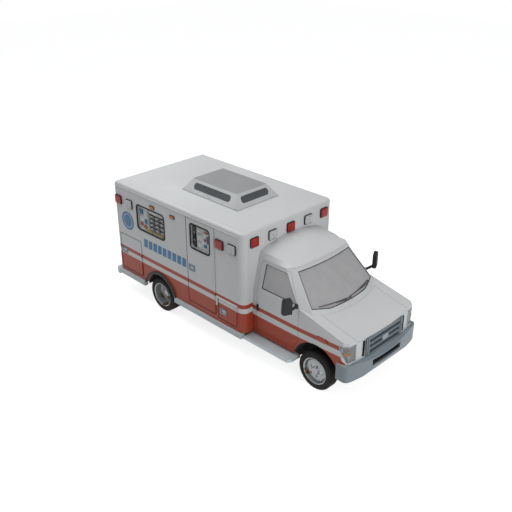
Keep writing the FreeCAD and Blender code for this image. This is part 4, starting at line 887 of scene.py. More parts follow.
# ---------------------------------------------------------------- parts carried over from the frame
@dataclass
class CarriedParts:
    """The CAD nodes that show as they are, each with its finish."""

    paint: dict[Finish, tuple[str, ...]] = field(default_factory=lambda: {
        BOX_LIVERY: ("module_front_wall", "module_left_wall", "module_right_wall", "module_rear_frame",
                     "left_rear_door", "right_rear_door", "side_entry_door", "right_front_locker_door",
                     "right_rear_locker_door", "left_front_locker_door", "left_rear_locker_door"),
        CAB_LIVERY: ("cab_shell", "front_fenders", "left_cab_door", "right_cab_door"),
        ENAMEL: ("cab_roof", "header_panel", "hood", "module_roof"),
        BUMPER_COAT: ("front_bumper",),
        RAIL_COAT: ("rub_rails",),
        FLARE_RUBBER: ("wheel_flares",),
        TREAD_COAT: ("steps",),
        CHASSIS_BLACK: ("frame_rails", "frame_crossmembers", "front_axle", "rear_axle", "fuel_tank"),
        CAST_IRON: ("engine_block", "left_knuckle", "right_knuckle"),
        TUBE_STEEL: ("exhaust_pipe",),
        GRILLE_COAT: ("grille",),
        BLACK_ABS: ("dashboard", "steering_wheel", "left_mirror", "right_mirror"),
        AIR_UNIT_SHELL: ("roof_air_unit",),
        SAFETY_GLASS: ("windshield", "left_cab_door_glass", "right_cab_door_glass"),
        SIDE_GLASS: ("module_window", "side_entry_glass", "left_rear_door_glass", "right_rear_door_glass"),
        RIM_PAINT: ("left_front_rim", "right_front_rim", "left_rear_rims", "right_rear_rims"),
        TYRE_RUBBER: ("left_front_tyre", "right_front_tyre", "left_rear_tyres", "right_rear_tyres"),
        SEAT_VINYL: ("cab_seats", "bench_cushions"),
        FLOOR_VINYL: ("module_floor",),
        MILL_ALLOY: ("locker_boxes",),
        LAMINATE: ("interior_cabinets",),
        REFLECTOR: ("headlights",),
        RED_LENS: ("lamp_lenses",),
    })

    def build(self) -> None:
        """Finishes every node."""
        for finish, nodes in self.paint.items():
            repaint(finish, *nodes)


@dataclass
class Wheels:
    """Moulded tyres in place of the plain rings, and the nuts and valves on the rims."""

    radius: float = 0.3719
    half_width: float = 0.1113
    bead: float = 0.2506
    pitches: int = 48
    groove: float = 0.008
    axle_height: float = 0.372
    front_track: float = 0.894
    rear_outer: float = 1.089
    rear_inner: float = 0.824
    nut_circle: float = 0.078
    nuts: int = 8
    washer: Flat = (0.0135, 0.003)
    nut: Flat = (0.0110, 0.020)
    stud: Flat = (0.0060, 0.027)

    def section(self, shoulder: float, middle: float) -> list[Flat]:
        """Gives the tyre's section where the shoulder and middle ribs are cut by so much.

        Args:
            shoulder: the share of the groove's depth cut from the outer ribs.
            middle: the same for the two middle ribs.

        Returns:
            Radius and across-the-tyre pairs, closed.
        """
        top, deep, half = self.radius, self.groove, self.half_width
        wall = [(self.bead, 0.088), (0.258, 0.100), (0.266, 0.1060), (0.270, 0.1060), (0.273, 0.1040),
                (0.292, 0.1090), (0.316, half), (0.320, half - 0.0012), (0.338, 0.1085), (0.354, 0.1015)]
        outer = top - deep * shoulder
        inner = top - deep * middle
        crown = [(outer - 0.007, 0.0940), (outer, 0.0830), (outer, 0.0560), (top - deep, 0.0545),
                 (top - deep, 0.0475), (inner, 0.0460), (inner, 0.0190), (top - deep, 0.0175), (top - deep, 0.0105),
                 (inner, 0.0090)]
        half_section = wall + crown
        return [(r, -a) for r, a in half_section] + [(r, a) for r, a in reversed(half_section)]

    def tyre(self, shape: Shape, centre: Point) -> None:
        """Turns one tyre, with sipes across its ribs at each pitch.

        Args:
            shape: the shape that takes it.
            centre: the wheel's centre.
        """
        stages = ((0.00, 1.0, 0.0), (0.12, 1.0, 0.0), (0.16, 0.0, 0.0), (0.48, 0.0, 0.0), (0.52, 0.0, 0.6),
                  (0.60, 0.0, 0.6), (0.64, 0.0, 0.0), (0.96, 0.0, 0.0))
        loops = []
        for pitch in range(self.pitches):
            for share, shoulder, middle in stages:
                angle = math.tau * (pitch + share) / self.pitches
                loops.append([(centre[0] + r * math.cos(angle), centre[1] + a, centre[2] + r * math.sin(angle))
                              for r, a in self.section(shoulder, middle)])
        shape.loft(loops, capped=False, joined=True)

    def fixings(self, side: Side, centre: Point, face: float, name: str, body: str) -> None:
        """Sets the wheel nuts and the valve on one rim.

        Args:
            side: the side of the vehicle.
            centre: the wheel's centre.
            face: how far outboard the disc's face is.
            name: the piece's first word.
            body: the wheel's body.
        """
        way = side.value
        shape = Shape(f"{name}_nuts", ZINC)
        for i in range(self.nuts):
            angle = math.tau * (i + 0.5) / self.nuts
            spot = (centre[0] + self.nut_circle * math.cos(angle), centre[1],
                    centre[2] + self.nut_circle * math.sin(angle))
            foot = 0.0
            for (radius, top), sides, chamfer in ((self.washer, 16, 0.0), (self.nut, 6, 0.002),
                                                  (self.stud, 12, 0.001)):
                shape.disc(spot, Axis.Y, radius, way * (face + foot), way * (face + top), sides, chamfer)
                foot = top
        shape.place("rim_steel", body, smooth=30.0)
        valve = Shape(f"{name}_valve", SEAL_RUBBER)
        foot = Vector((centre[0] + 0.165, centre[1] + way * (face + 0.004), centre[2]))
        valve.tube([foot, foot + Vector((0.012, way * 0.020, 0.0)), foot + Vector((0.020, way * 0.044, 0.0))], 0.0045)
        valve.use(ZINC).tube([foot + Vector((0.020, way * 0.044, 0.0)), foot + Vector((0.024, way * 0.054, 0.0))],
                             0.0050, sides=8)
        valve.place("rim_steel", body)

    def build(self) -> None:
        """Builds the six tyres and dresses the four rims."""
        for side in Side:
            way = side.value
            front = (FRONT_AXLE, way * self.front_track, self.axle_height)
            tyre = Shape(f"{side.word}_front_tread_tyre", TYRE_RUBBER)
            self.tyre(tyre, front)
            tyre.place("tyre", f"{side.word}_front_wheel", [f"{side.word}_front_tyre"], smooth=28.0)
            twin = Shape(f"{side.word}_rear_tread_tyres", TYRE_RUBBER)
            for track in (self.rear_outer, self.rear_inner):
                self.tyre(twin, (REAR_AXLE, way * track, self.axle_height))
            twin.place("tyre", f"{side.word}_rear_wheels", [f"{side.word}_rear_tyres"], smooth=28.0)
            self.fixings(side, front, 0.084, f"{side.word}_front_rim", f"{side.word}_front_wheel")
            rear = (REAR_AXLE, way * self.rear_outer, self.axle_height)
            self.fixings(side, rear, -0.060, f"{side.word}_rear_rim", f"{side.word}_rear_wheels")


# ---------------------------------------------------------------- lamps
class LampKind(Enum):
    """What a lamp's lens is moulded in."""

    RED = "red"
    CLEAR = "clear"
    AMBER = "amber"

    @property
    def finish(self) -> Finish:
        """The lens's finish."""
        return {LampKind.RED: RED_LENS, LampKind.CLEAR: CLEAR_LENS, LampKind.AMBER: AMBER_LENS}[self]


@dataclass
class Lamps:
    """Every lamp outside: beacons round the top of the box, markers, tail lamps and wing markers."""

    size: Flat = (0.210, 0.190)
    depth: float = 0.042
    corner: float = 0.026
    marker_size: Flat = (0.150, 0.068)
    marker_depth: float = 0.026
    side_spots: tuple[tuple[float, float, LampKind], ...] = (
        (BOX_REAR + 0.126, 2.180, LampKind.RED), (BOX_REAR + 0.490, 2.170, LampKind.CLEAR),
        (BOX_FRONT - 0.613, 2.180, LampKind.RED), (BOX_FRONT - 0.291, 2.190, LampKind.CLEAR))
    front_spots: tuple[tuple[float, LampKind], ...] = (
        (-0.952, LampKind.RED), (-0.487, LampKind.CLEAR), (0.0, LampKind.RED), (0.487, LampKind.CLEAR),
        (0.952, LampKind.RED))
    rear_spots: tuple[tuple[float, LampKind], ...] = (
        (-1.020, LampKind.RED), (-0.400, LampKind.CLEAR), (0.0, LampKind.AMBER), (0.400, LampKind.CLEAR),
        (1.020, LampKind.RED))
    markers: tuple[Flat, ...] = ((FRONT_AXLE - 4.130, 2.320), (FRONT_AXLE - 3.505, 2.305))

    def lamp(self, shapes: dict[str, Shape], kind: LampKind, face: Face, centre: Flat, size: Flat, depth: float,
             corner: float) -> None:
        """Builds one lamp: a bezel round a domed, fluted lens.

        Args:
            shapes: the shape for each lens colour and for the bezels.
            kind: the lens's colour.
            face: the wall that it stands on.
            centre: its middle across the wall.
            size: its width and height.
            depth: how far it stands out.
            corner: its corner radius.
        """
        outer = rounded_outline(centre, size, corner)
        rim = scaled_outline(outer, 0.009)
        lens = scaled_outline(outer, 0.0095)
        shapes["bezel"].ring(outer, rim, face, 0.0, depth * 0.62)
        dome = [(0.0, 0.02), (0.0, 0.72), (0.003, 0.88), (0.010, 0.97), (0.022, 1.0)]
        shapes[kind.value].loft([[face.point(depth * share, *p) for p in scaled_outline(lens, inset)]
                                 for inset, share in dome])

    def tails(self) -> None:
        """Builds the three tail lamps on each side of the rear frame."""
        kinds = ((0.620, LampKind.CLEAR), (0.730, LampKind.AMBER), (0.840, LampKind.RED))
        shapes = {kind.value: Shape(f"tail_lenses_{kind.value}", kind.finish) for kind in LampKind}
        shapes["bezel"] = Shape("tail_lamp_bezels", BRIGHT_STEEL)
        for side in Side:
            for height, kind in kinds:
                self.lamp(shapes, kind, REAR_FACE, (side.value * 1.020, height), (0.240, 0.090), 0.030, 0.018)
        for key, shape in shapes.items():
            shape.place("metal_trim" if key == "bezel" else "red_lens")

    def build(self) -> None:
        """Builds every lamp."""
        shapes = {kind.value: Shape(f"beacon_lenses_{kind.value}", kind.finish) for kind in LampKind}
        shapes["bezel"] = Shape("beacon_bezels", BLACK_ABS)
        for side in Side:
            wall = side.wall(BOX_SIDE)
            for x, z, kind in self.side_spots:
                self.lamp(shapes, kind, wall, (x, z), self.size, self.depth, self.corner)
            for spot in self.markers:
                self.lamp(shapes, LampKind.AMBER, wall, spot, self.marker_size, self.marker_depth, 0.016)
        for y, kind in self.front_spots:
            self.lamp(shapes, kind, Face(Axis.X, BOX_FRONT), (y, 2.344), self.size, self.depth, self.corner)
        for y, kind in self.rear_spots:
            self.lamp(shapes, kind, REAR_FACE, (y, 2.370), self.size, self.depth, self.corner)
        nodes = {"red": ["lamp_lenses"]}
        for key, shape in shapes.items():
            shape.place("black_plastic" if key == "bezel" else "red_lens", replaces=nodes.get(key, ()))
        self.tails()
        wings = Shape("wing_marker_lenses", MARKER_RED)
        for side in Side:
            outline = rounded_outline((FRONT_AXLE + 0.125, 1.0850), (0.236, 0.050), 0.014)
            wings.use(SEAL_RUBBER).pad(scaled_outline(outline, -0.004), side.wall(), 0.975, 0.991, 0.002)
            wings.use(MARKER_RED).pad(outline, side.wall(), 0.980, 1.004, 0.007)
        wings.place("red_lens")


# ---------------------------------------------------------------- the cab's outside
@dataclass
class CabOutside:
    """Seals, wipers, handles, mirror glasses and everything in the nose."""

    seal: float = 0.0075
    lamp_steps: int = 16
    grille_half: float = 0.444
    grille_low: float = 0.812
    grille_high: float = 1.140
    fins: int = 55
    fin_pitch: float = 0.016
    bumper_slot_half: float = 0.404
    slat_pitch: float = 0.023
    mirror_middle: Point = (FRONT_AXLE - 0.466, 1.247, 0.0)
    mirror_turn: float = math.radians(28.0)
    windshield: tuple[Flat, ...] = ((-0.500, 1.396), (0.500, 1.396), (0.838, 1.456), (0.700, 1.964), (-0.700, 1.964),
                                    (-0.838, 1.456))
    door_window: tuple[Flat, ...] = ((-0.498, 1.484), (-0.830, 1.941), (-1.334, 1.941), (-1.344, 1.484))

    def glass_seals(self) -> None:
        """Lays the rubber round the windshield and the door windows."""
        ahead = [(FRONT_AXLE + 1.0, y, z) for y, z in self.windshield]
        line = Skin("windshield").along(ahead, (-1.0, 0.0, 0.0), 0.003, 0.04, closed=True)
        shape = Shape("windshield_seal", SEAL_RUBBER)
        shape.tube(line, self.seal * 1.15, 8, closed=True, flatten=0.8)
        shape.place("black_plastic")
        for side in Side:
            outside = [(FRONT_AXLE + x, side.value * 1.6, z) for x, z in self.door_window]
            glass = Skin(f"{side.word}_cab_door_glass")
            line = glass.along(outside, (0.0, -side.value, 0.0), 0.003, 0.04, closed=True)
            shape = Shape(f"{side.word}_cab_window_seal", SEAL_RUBBER)
            shape.tube(line, self.seal, 8, closed=True)
            shape.place("black_plastic", f"{side.word}_cab_door")

    def wipers(self) -> None:
        """Lays two wipers along the foot of the windshield, each an arm, a frame and a rubber."""
        glass = Skin("windshield")
        for index, (pivot, inner, outer) in enumerate((((0.04, 1.404), (0.020, 1.424), (-0.690, 1.462)),
                                                       ((0.70, 1.440), (0.680, 1.462), (0.010, 1.430)))):
            def at(y: float, z: float, lift: float) -> Vector:
                """Finds the point over the glass at a place across the vehicle."""
                return glass.on((FRONT_AXLE + 1.0, y, z), (-1.0, 0.0, 0.0), lift)

            shape = Shape(f"wiper_{index + 1}", WIPER_COAT)
            ends = [(inner[0] + (outer[0] - inner[0]) * i / 8, inner[1] + (outer[1] - inner[1]) * i / 8)
                    for i in range(9)]
            shape.tube([at(y, z, 0.005) for y, z in ends], 0.0045, 6)
            shape.tube([at(y, z, 0.013 + 0.006 * math.sin(math.pi * i / 8)) for i, (y, z) in enumerate(ends)],
                       0.006, 6)
            middle = ends[4]
            shape.tube([at(*pivot, 0.012), at(pivot[0] * 0.75 + middle[0] * 0.25, pivot[1] * 0.75 + middle[1] * 0.25,
                                              0.030), at(*middle, 0.026)], 0.008, 8)
            foot = at(*pivot, 0.0)
            shape.disc(foot, Axis.X, 0.020, -0.004, 0.024, 16, 0.005)
            shape.place("black_plastic")

    def door_furniture(self) -> None:
        """Sets the pull handle, lock and lower moulding on each cab door."""
        for side in Side:
            way = side.value
            skin = Skin(f"{side.word}_cab_door")
            x = FRONT_AXLE - 1.418
            wall = skin.on((x, way * 1.6, 1.06), (0.0, -way, 0.0)).y
            panel = Face(Axis.Y, wall, way)
            shape = Shape(f"{side.word}_cab_handle", BLACK_ABS)
            shape.tile((x, 1.068), (0.052, 0.140), 0.014, panel, -0.002, 0.010, 0.004)
            shape.tile((x - 0.006, 1.068), (0.024, 0.104), 0.010, panel, 0.008, 0.026, 0.006)
            shape.use(ZINC).disc((x, wall, 1.168), Axis.Y, 0.011, -way * 0.002, way * 0.004, 20, 0.001)
            shape.place("black_plastic", f"{side.word}_cab_door")
            line = [(FRONT_AXLE + a, way * 1.6, z) for a, z in ((-0.470, 0.822), (-1.420, 0.822))]
            crease = Shape(f"{side.word}_cab_door_moulding", CAB_LIVERY)
            crease.tube(skin.along(line, (0.0, -way, 0.0), 0.0, 0.1), 0.007, 8)
            crease.place("body_paint", f"{side.word}_cab_door")

    def mirrors(self) -> None:
        """Sets two glasses in the back of each mirror head, a domed shell on its front and a broad arm."""
        outline = [(-0.086, 1.446), (-0.090, 1.704), (-0.064, 1.745), (0.052, 1.745), (0.077, 1.704),
                   (0.082, 1.470), (0.064, 1.442)]
        for side in Side:
            way = side.value
            turn = self.mirror_turn

            def turned(ahead: float, points: Sequence[Flat]) -> list[Point]:
                """Puts an outline across the head, so far ahead of its middle, into the frame.

                Args:
                    ahead: how far ahead of the head's middle.
                    points: places out from the middle, with their heights.

                Returns:
                    The points in the frame.
                """
                return [(self.mirror_middle[0] + ahead * math.cos(turn) - out * math.sin(turn),
                         way * (self.mirror_middle[1] + ahead * math.sin(turn) + out * math.cos(turn)), z)
                        for out, z in points]

            glass = Shape(f"{side.word}_mirror_glass", SEAL_RUBBER)
            for centre, size in ((1.634, (0.146, 0.178)), (1.497, (0.146, 0.072))):
                pane = rounded_outline((0.002, centre), size, 0.014)
                for finish, edge, stages in ((SEAL_RUBBER, 0.0, (-0.031, -0.036, -0.038)),
                                             (MIRROR_GLASS, 0.006, (-0.036, -0.0385, -0.0392))):
                    glass.use(finish).loft([turned(at, scaled_outline(pane, edge + 0.001 * i))
                                            for i, at in enumerate(stages)])
            glass.place("black_plastic", f"{side.word}_cab_door")
            shell = Shape(f"{side.word}_mirror_shell", BLACK_ABS)
            stages = ((0.024, -0.003), (0.036, -0.003), (0.038, -0.001), (0.044, 0.006), (0.050, 0.020),
                      (0.052, 0.036))
            shell.loft([turned(at, scaled_outline(outline, inset)) for at, inset in stages])
            root = Vector((FRONT_AXLE - 0.486, way * 0.974, 1.472))
            tip = Vector((FRONT_AXLE - 0.480, way * 1.212, 1.463))
            shell.tube([root, root.lerp(tip, 0.25), root.lerp(tip, 0.75), tip], 0.026, 12)
            foot = [(FRONT_AXLE + x, z) for x, z in ((-0.456, 1.437), (-0.456, 1.450), (-0.479, 1.508),
                                                     (-0.500, 1.522), (-0.518, 1.508), (-0.518, 1.437))]
            shell.prism(foot, side.wall(), 0.952, 0.990)
            shell.place("black_plastic", f"{side.word}_cab_door", bevel=0.005)

    def nose(self) -> None:
        """Fills the grille, the slots beside it and the bumper's slot with dark fins and mesh; the black backings in
        the slots are painted shade.
        """
        core = Shape("radiator_face", BLACK_AND_RECESS_SHADE)
        back = FRONT_AXLE + 0.650
        core.block((back - 0.008, -self.grille_half, self.grille_low), (back, self.grille_half, self.grille_high))
        for i in range(self.fins):
            y = -0.434 + self.fin_pitch * i
            core.block((back - 0.001, y, self.grille_low + 0.004),
                       (back + 0.009, y + 0.003, self.grille_high - 0.004))
        # Each slot beside the grille gets a black backing close behind its face, and black slats: painted shade for
        # the slot's depth.
        slot = FRONT_AXLE + 0.699
        for side in Side:
            low, high = side.value * 0.5485, side.value * 0.5935
            core.block((slot - 0.004, low, 0.827), (slot, high, 1.135))
            for i in range(13):
                z = self.slat_pitch * i
                core.block((slot - 0.001, low, 0.832 + z), (slot + 0.012, high, 0.838 + z))
        core.place("black_plastic")
        badge = Shape("blank_grille_badge", PADDLE_COAT)
        plain = rounded_outline((0.0, 0.982), (0.176, 0.116), 0.050, 8)
        badge.pad(plain, AHEAD, 0.700, 0.742, 0.010)
        badge.ring(scaled_outline(plain, 0.012), scaled_outline(plain, 0.018), AHEAD, 0.741, 0.744)
        badge.place("grey_plastic")
        mesh = Shape("bumper_slot_mesh", BLACK_AND_RECESS_SHADE)
        rear = FRONT_AXLE + 0.769
        half = self.bumper_slot_half
        # The black plate behind the mesh is painted shade for the depth of the bumper's slot.
        mesh.block((rear - 0.006, -half, 0.595), (rear, half, 0.707))
        for i in range(5):
            z = self.slat_pitch * i
            mesh.block((rear - 0.001, -half, 0.601 + z), (rear + 0.012, half, 0.607 + z))
        for i in range(27):
            y = -half + 0.014 + 0.0302 * i
            mesh.block((rear - 0.001, y, 0.596), (rear + 0.009, y + 0.005, 0.706))
        mesh.place("black_plastic")

    def headlights(self) -> None:
        """Dresses each headlight: a coated edge, hazed fluted panels and an amber strip between them."""
        skin = Skin("headlights")
        plan = ((0.470, 0.984), (0.585, 0.968), (0.655, 0.900), (0.700, 0.778))
        for side in Side:
            way = side.value

            def run(z: float, lift: float, reach: float = 1.0) -> list[Vector]:
                """Follows the lamp's face round the corner at one height, from its slanted rear edge.

                Args:
                    z: the height.
                    lift: how far off the face the line runs.
                    reach: the share of the way round that it goes.

                Returns:
                    The points found, from the rear edge on.
                """
                rear = 0.484 + (1.136 - z) * 0.485
                corners = [c for c in plan if c[0] > rear]
                before = plan[len(plan) - len(corners) - 1]
                share = (rear - before[0]) / (corners[0][0] - before[0])
                corners = [(rear, before[1] + (corners[0][1] - before[1]) * share)] + corners
                spans = [math.dist(p, q) for p, q in zip(corners, corners[1:])]
                found = []
                for i in range(self.lamp_steps + 1):
                    left, leg = sum(spans) * reach * i / self.lamp_steps, 0
                    while leg < len(spans) - 1 and left > spans[leg]:
                        left, leg = left - spans[leg], leg + 1
                    (ax, ay), (bx, by) = corners[leg], corners[leg + 1]
                    x = FRONT_AXLE + ax + (bx - ax) * left / spans[leg]
                    y = way * (ay + (by - ay) * left / spans[leg])
                    found.append(skin.on((x + 0.30, y + way * 0.30, z), (-0.30, -way * 0.30, 0.0), lift))
                return [p for p in found if p is not None]

            for name, finish, low, high, lift, reach in (("clear_high", HEADLAMP_LENS, 0.994, 1.122, 0.003, 1.0),
                                                         ("amber", AMBER_LENS, 0.968, 1.010, 0.006, 0.58),
                                                         ("clear_low", HEADLAMP_LENS, 0.832, 0.984, 0.003, 1.0)):
                rows = [run(low, -0.002, reach), run(low + 0.004, lift, reach), run(high - 0.004, lift, reach),
                        run(high, -0.002, reach)]
                count = min(len(row) for row in rows)
                if count < 3:
                    continue
                shape = Shape(f"{side.word}_headlight_{name}", finish)
                shape.loft([row[-count:] for row in rows], closed=False)
                made = shape.place("clear_lens")
                made.modifiers.new("sheet", "SOLIDIFY").thickness = 0.002
            edge = Shape(f"{side.word}_headlight_edge", BUMPER_COAT)
            for z in (0.825, 1.126):
                line = run(z, 0.001)
                if len(line) > 2:
                    edge.tube(line, 0.008, 8)
            inner = [run(0.825 + 0.075 * i, 0.001)[-1] for i in range(5)]
            edge.tube(inner, 0.018, 10)
            edge.place("metal_trim")

    def build(self) -> None:
        """Builds the cab's outside."""
        self.glass_seals()
        self.wipers()
        self.door_furniture()
        self.mirrors()
        self.nose()
        self.headlights()


# ---------------------------------------------------------------- the box's outside
@dataclass
class Doorway:
    """One leaf in a wall: its edges, which side it is on and what carries it."""

    body: str
    side: Side
    front: float
    rear: float
    low: float
    high: float
    handle: Flat


@dataclass
class BoxOutside:
    """Seals, hinges, latches, frames, marks and rails on the box."""

    band_from: float = FRONT_AXLE - 4.490
    band_to: float = FRONT_AXLE - 3.120
    band_low: float = 1.340
    band_high: float = 1.530
    blocks: int = 9
    mark: Flat = (FRONT_AXLE - 5.000, 1.765)
    mark_radius: float = 0.205
    doorways: tuple[Doorway, ...] = (
        Doorway("side_entry_door", Side.RIGHT, FRONT_AXLE - 2.310, FRONT_AXLE - 3.100, 0.640, 2.450,
                (FRONT_AXLE - 2.975, 1.405)),
        Doorway("right_front_locker_door", Side.RIGHT, FRONT_AXLE - 1.730, FRONT_AXLE - 2.230, 0.600, 1.040,
                (FRONT_AXLE - 2.095, 0.785)),
        Doorway("right_rear_locker_door", Side.RIGHT, FRONT_AXLE - 4.600, FRONT_AXLE - 5.308, 0.600, 1.405,
                (FRONT_AXLE - 5.190, 1.030)),
        Doorway("left_front_locker_door", Side.LEFT, FRONT_AXLE - 1.730, FRONT_AXLE - 2.230, 0.600, 2.060,
                (FRONT_AXLE - 2.130, 1.250)),
        Doorway("left_rear_locker_door", Side.LEFT, FRONT_AXLE - 4.600, FRONT_AXLE - 5.308, 0.600, 1.405,
                (FRONT_AXLE - 5.190, 1.030)))

    def door_edges(self) -> None:
        """Lays a rubber seal round each doorway and a painted hinge down its front edge."""
        seals = Shape("doorway_seals", SEAL_RUBBER)
        for door in self.doorways:
            middle = ((door.front + door.rear) / 2, (door.low + door.high) / 2)
            size = (door.front - door.rear, door.high - door.low)
            outer = rounded_outline(middle, (size[0] + 0.014, size[1] + 0.014), 0.012, 3)
            inner = rounded_outline(middle, (size[0] + 0.001, size[1] + 0.001), 0.006, 3)
            seals.ring(outer, inner, door.side.wall(BOX_SIDE), -0.002, 0.0022)
        seals.ring(rounded_outline((0.0, 1.565), (1.296, 1.386), 0.010, 3),
                   rounded_outline((0.0, 1.565), (1.281, 1.371), 0.005, 3), REAR_FACE, -0.002, 0.0022)
        seals.place("black_plastic")
        for door in self.doorways:
            way = door.side.value
            strip = Shape(f"{door.body}_hinge_knuckles", BOX_LIVERY)
            count = max(3, round((door.high - door.low) / 0.16))
            pitch = (door.high - door.low - 0.08) / count
            for i in range(count):
                z = door.low + 0.04 + pitch * i
                strip.disc((door.front - 0.003, way * (BOX_SIDE + 0.0093), z), Axis.Z, 0.0102, 0.004,
                           pitch * 0.5 - 0.004, 12, 0.001)
            strip.place("body_paint", door.body)

    def latches(self) -> None:
        """Sets a paddle latch on each leaf: a gasket, a tray, a flat slate-grey plate that paints the shade of its
        recess, a lever and a lock.
        """
        for door in self.doorways:
            way, (x, z) = door.side.value, door.handle
            panel = door.side.wall(BOX_SIDE)
            latch = Shape(f"{door.body}_latch", PADDLE_COAT)
            tray = rounded_outline((x, z), (0.176, 0.124), 0.018)
            latch.ring(tray, scaled_outline(tray, 0.014), panel, 0.0, 0.009)
            latch.use(SEAL_RUBBER).ring(scaled_outline(tray, -0.006), scaled_outline(tray, 0.002), panel, 0.0, 0.004)
            # The flat slate-grey plate at the wall inside the tray is painted shade, standing for the recess behind
            # the paddle.
            latch.use(LOUVRE_GREY).prism(scaled_outline(tray, 0.012), panel, -0.001, 0.001)
            latch.use(PADDLE_COAT).tile((x + 0.020, z + 0.004), (0.098, 0.070), 0.014, panel, 0.001, 0.013, 0.005)
            latch.use(LAMINATE).tile((x + 0.020, z + 0.018), (0.070, 0.012), 0.004, panel, 0.012, 0.0145, 0.001)
            latch.use(ZINC).disc((x - 0.056, panel.at, z), Axis.Y, 0.014, 0.0, way * 0.008, 20, 0.002)
            # The black line on the lock is painted shade for its keyhole.
            latch.use(BLACK_AND_RECESS_SHADE).pad(rounded_outline((x - 0.056, z), (0.003, 0.014), 0.001, 2), panel, 0.007, 0.0085,
                                     0.0005)
            latch.place("metal_trim", door.body)

    def window_frames(self) -> None:
        """Sets a black rubber and clamp frame round every window of the box."""
        right = Side.RIGHT.wall(BOX_SIDE)
        panes = (("fixed_window_frame", "chassis", right, (FRONT_AXLE - 4.2175, 1.970), (0.865, 0.520), 0.090),
                 ("side_door_window_frame", "side_entry_door", right, (FRONT_AXLE - 2.7125, 2.095), (0.525, 0.490),
                  0.070),
                 ("left_rear_window_frame", "left_rear_door", REAR_FACE, (0.330, 1.825), (0.360, 0.530), 0.070),
                 ("right_rear_window_frame", "right_rear_door", REAR_FACE, (-0.330, 1.825), (0.360, 0.530), 0.070))
        for name, body, face, middle, size, corner in panes:
            inner = rounded_outline(middle, (size[0] - 0.012, size[1] - 0.012), corner - 0.006, 8)
            outer = scaled_outline(inner, -0.030)
            frame_piece = Shape(name, SEAL_RUBBER)
            stages = [(outer, 0.0), (outer, 0.005), (scaled_outline(outer, 0.004), 0.009),
                      (scaled_outline(outer, 0.022), 0.009), (scaled_outline(outer, 0.026), 0.005),
                      (inner, 0.003), (inner, -0.012)]
            frame_piece.loft([[face.point(out, *p) for p in outline] for outline, out in stages],
                             capped=False, joined=True)
            frame_piece.place("black_plastic", body)

    def marks(self) -> None:
        """Lays the blue film on both sides: a band of plain slanted blocks and a ringed disc."""
        film = Shape("blue_film_marks", BLUE_FILM)
        for side in Side:
            panel = side.wall(BOX_SIDE)
            pitch = (self.band_to - self.band_from) / self.blocks
            for i in range(self.blocks):
                x = self.band_from + pitch * i
                wide, lean = pitch * 0.80, 0.016
                corners = [(x, self.band_low), (x + wide, self.band_low), (x + wide + lean, self.band_high),
                           (x + lean, self.band_high)]
                film.prism(corners, panel, 0.0, 0.0008)
            x, z = self.mark
            circle = rounded_outline((x, z), (2 * self.mark_radius, 2 * self.mark_radius), self.mark_radius - 1e-4,
                                     12)
            film.ring(circle, scaled_outline(circle, 0.050), panel, 0.0, 0.0008)
            film.prism(scaled_outline(circle, 0.066), panel, 0.0, 0.0008)
        film.place("body_paint")

    def trim(self) -> None:
        """Runs the drip rails, corner beads, roof bead and the door's catch along the box."""
        rail = Shape("drip_rails", ENAMEL)
        for side in Side:
            way = side.value
            y = way * (BOX_SIDE + 0.002)
            section = [(y, 2.472), (y + way * 0.012, 2.470), (y + way * 0.016, 2.478), (y + way * 0.013, 2.484),
                       (y + way * 0.009, 2.478), (y, 2.486)]
            rail.loft([[(x, *p) for p in section] for x in (BOX_REAR + 0.030, BOX_FRONT - 0.150)])
        rail.tube([(BOX_FRONT - 0.100, -1.130, 2.5605), (BOX_REAR + 0.080, -1.130, 2.5605)], 0.004, 8)
        rail.tube([(BOX_FRONT - 0.100, 1.130, 2.5605), (BOX_REAR + 0.080, 1.130, 2.5605)], 0.004, 8)
        over = FRONT_AXLE - 2.705
        rail.loft([[(x, -BOX_SIDE - a, b) for a, b in ((0.0, 2.458), (0.014, 2.455), (0.016, 2.462), (0.0, 2.468))]
                   for x in (over - 0.430, over + 0.430)])
        rail.place("body_paint")
        catch = Shape("side_door_hold_open_catch", ENAMEL)
        catch.tile((FRONT_AXLE - 2.270, 0.970), (0.038, 0.200), 0.010, Side.RIGHT.wall(BOX_SIDE), 0.0, 0.020, 0.006)
        catch.use(BRIGHT_STEEL).disc((FRONT_AXLE - 2.270, -BOX_SIDE, 1.030), Axis.Y, 0.010, -0.018, -0.034, 16, 0.002)
        catch.place("body_paint")
        ledge = Shape("front_locker_drip_ledge", ENAMEL)
        ledge.loft([[(x, -BOX_SIDE - a, b) for a, b in ((0.0, 1.048), (0.020, 1.046), (0.022, 1.056), (0.0, 1.066))]
                    for x in (FRONT_AXLE - 2.250, FRONT_AXLE - 1.710)])
        ledge.place("body_paint")
        posts = Shape("front_corner_beads", BOX_LIVERY)
        for side in Side:
            way = side.value
            for x, y in ((BOX_FRONT - 0.132, way * (BOX_SIDE + 0.0005)),
                         (BOX_FRONT + 0.0005, way * (BOX_SIDE - 0.132))):
                posts.tube([(x, y, 0.560), (x, y, 2.420)], 0.0045, 8)
        posts.place("body_paint")

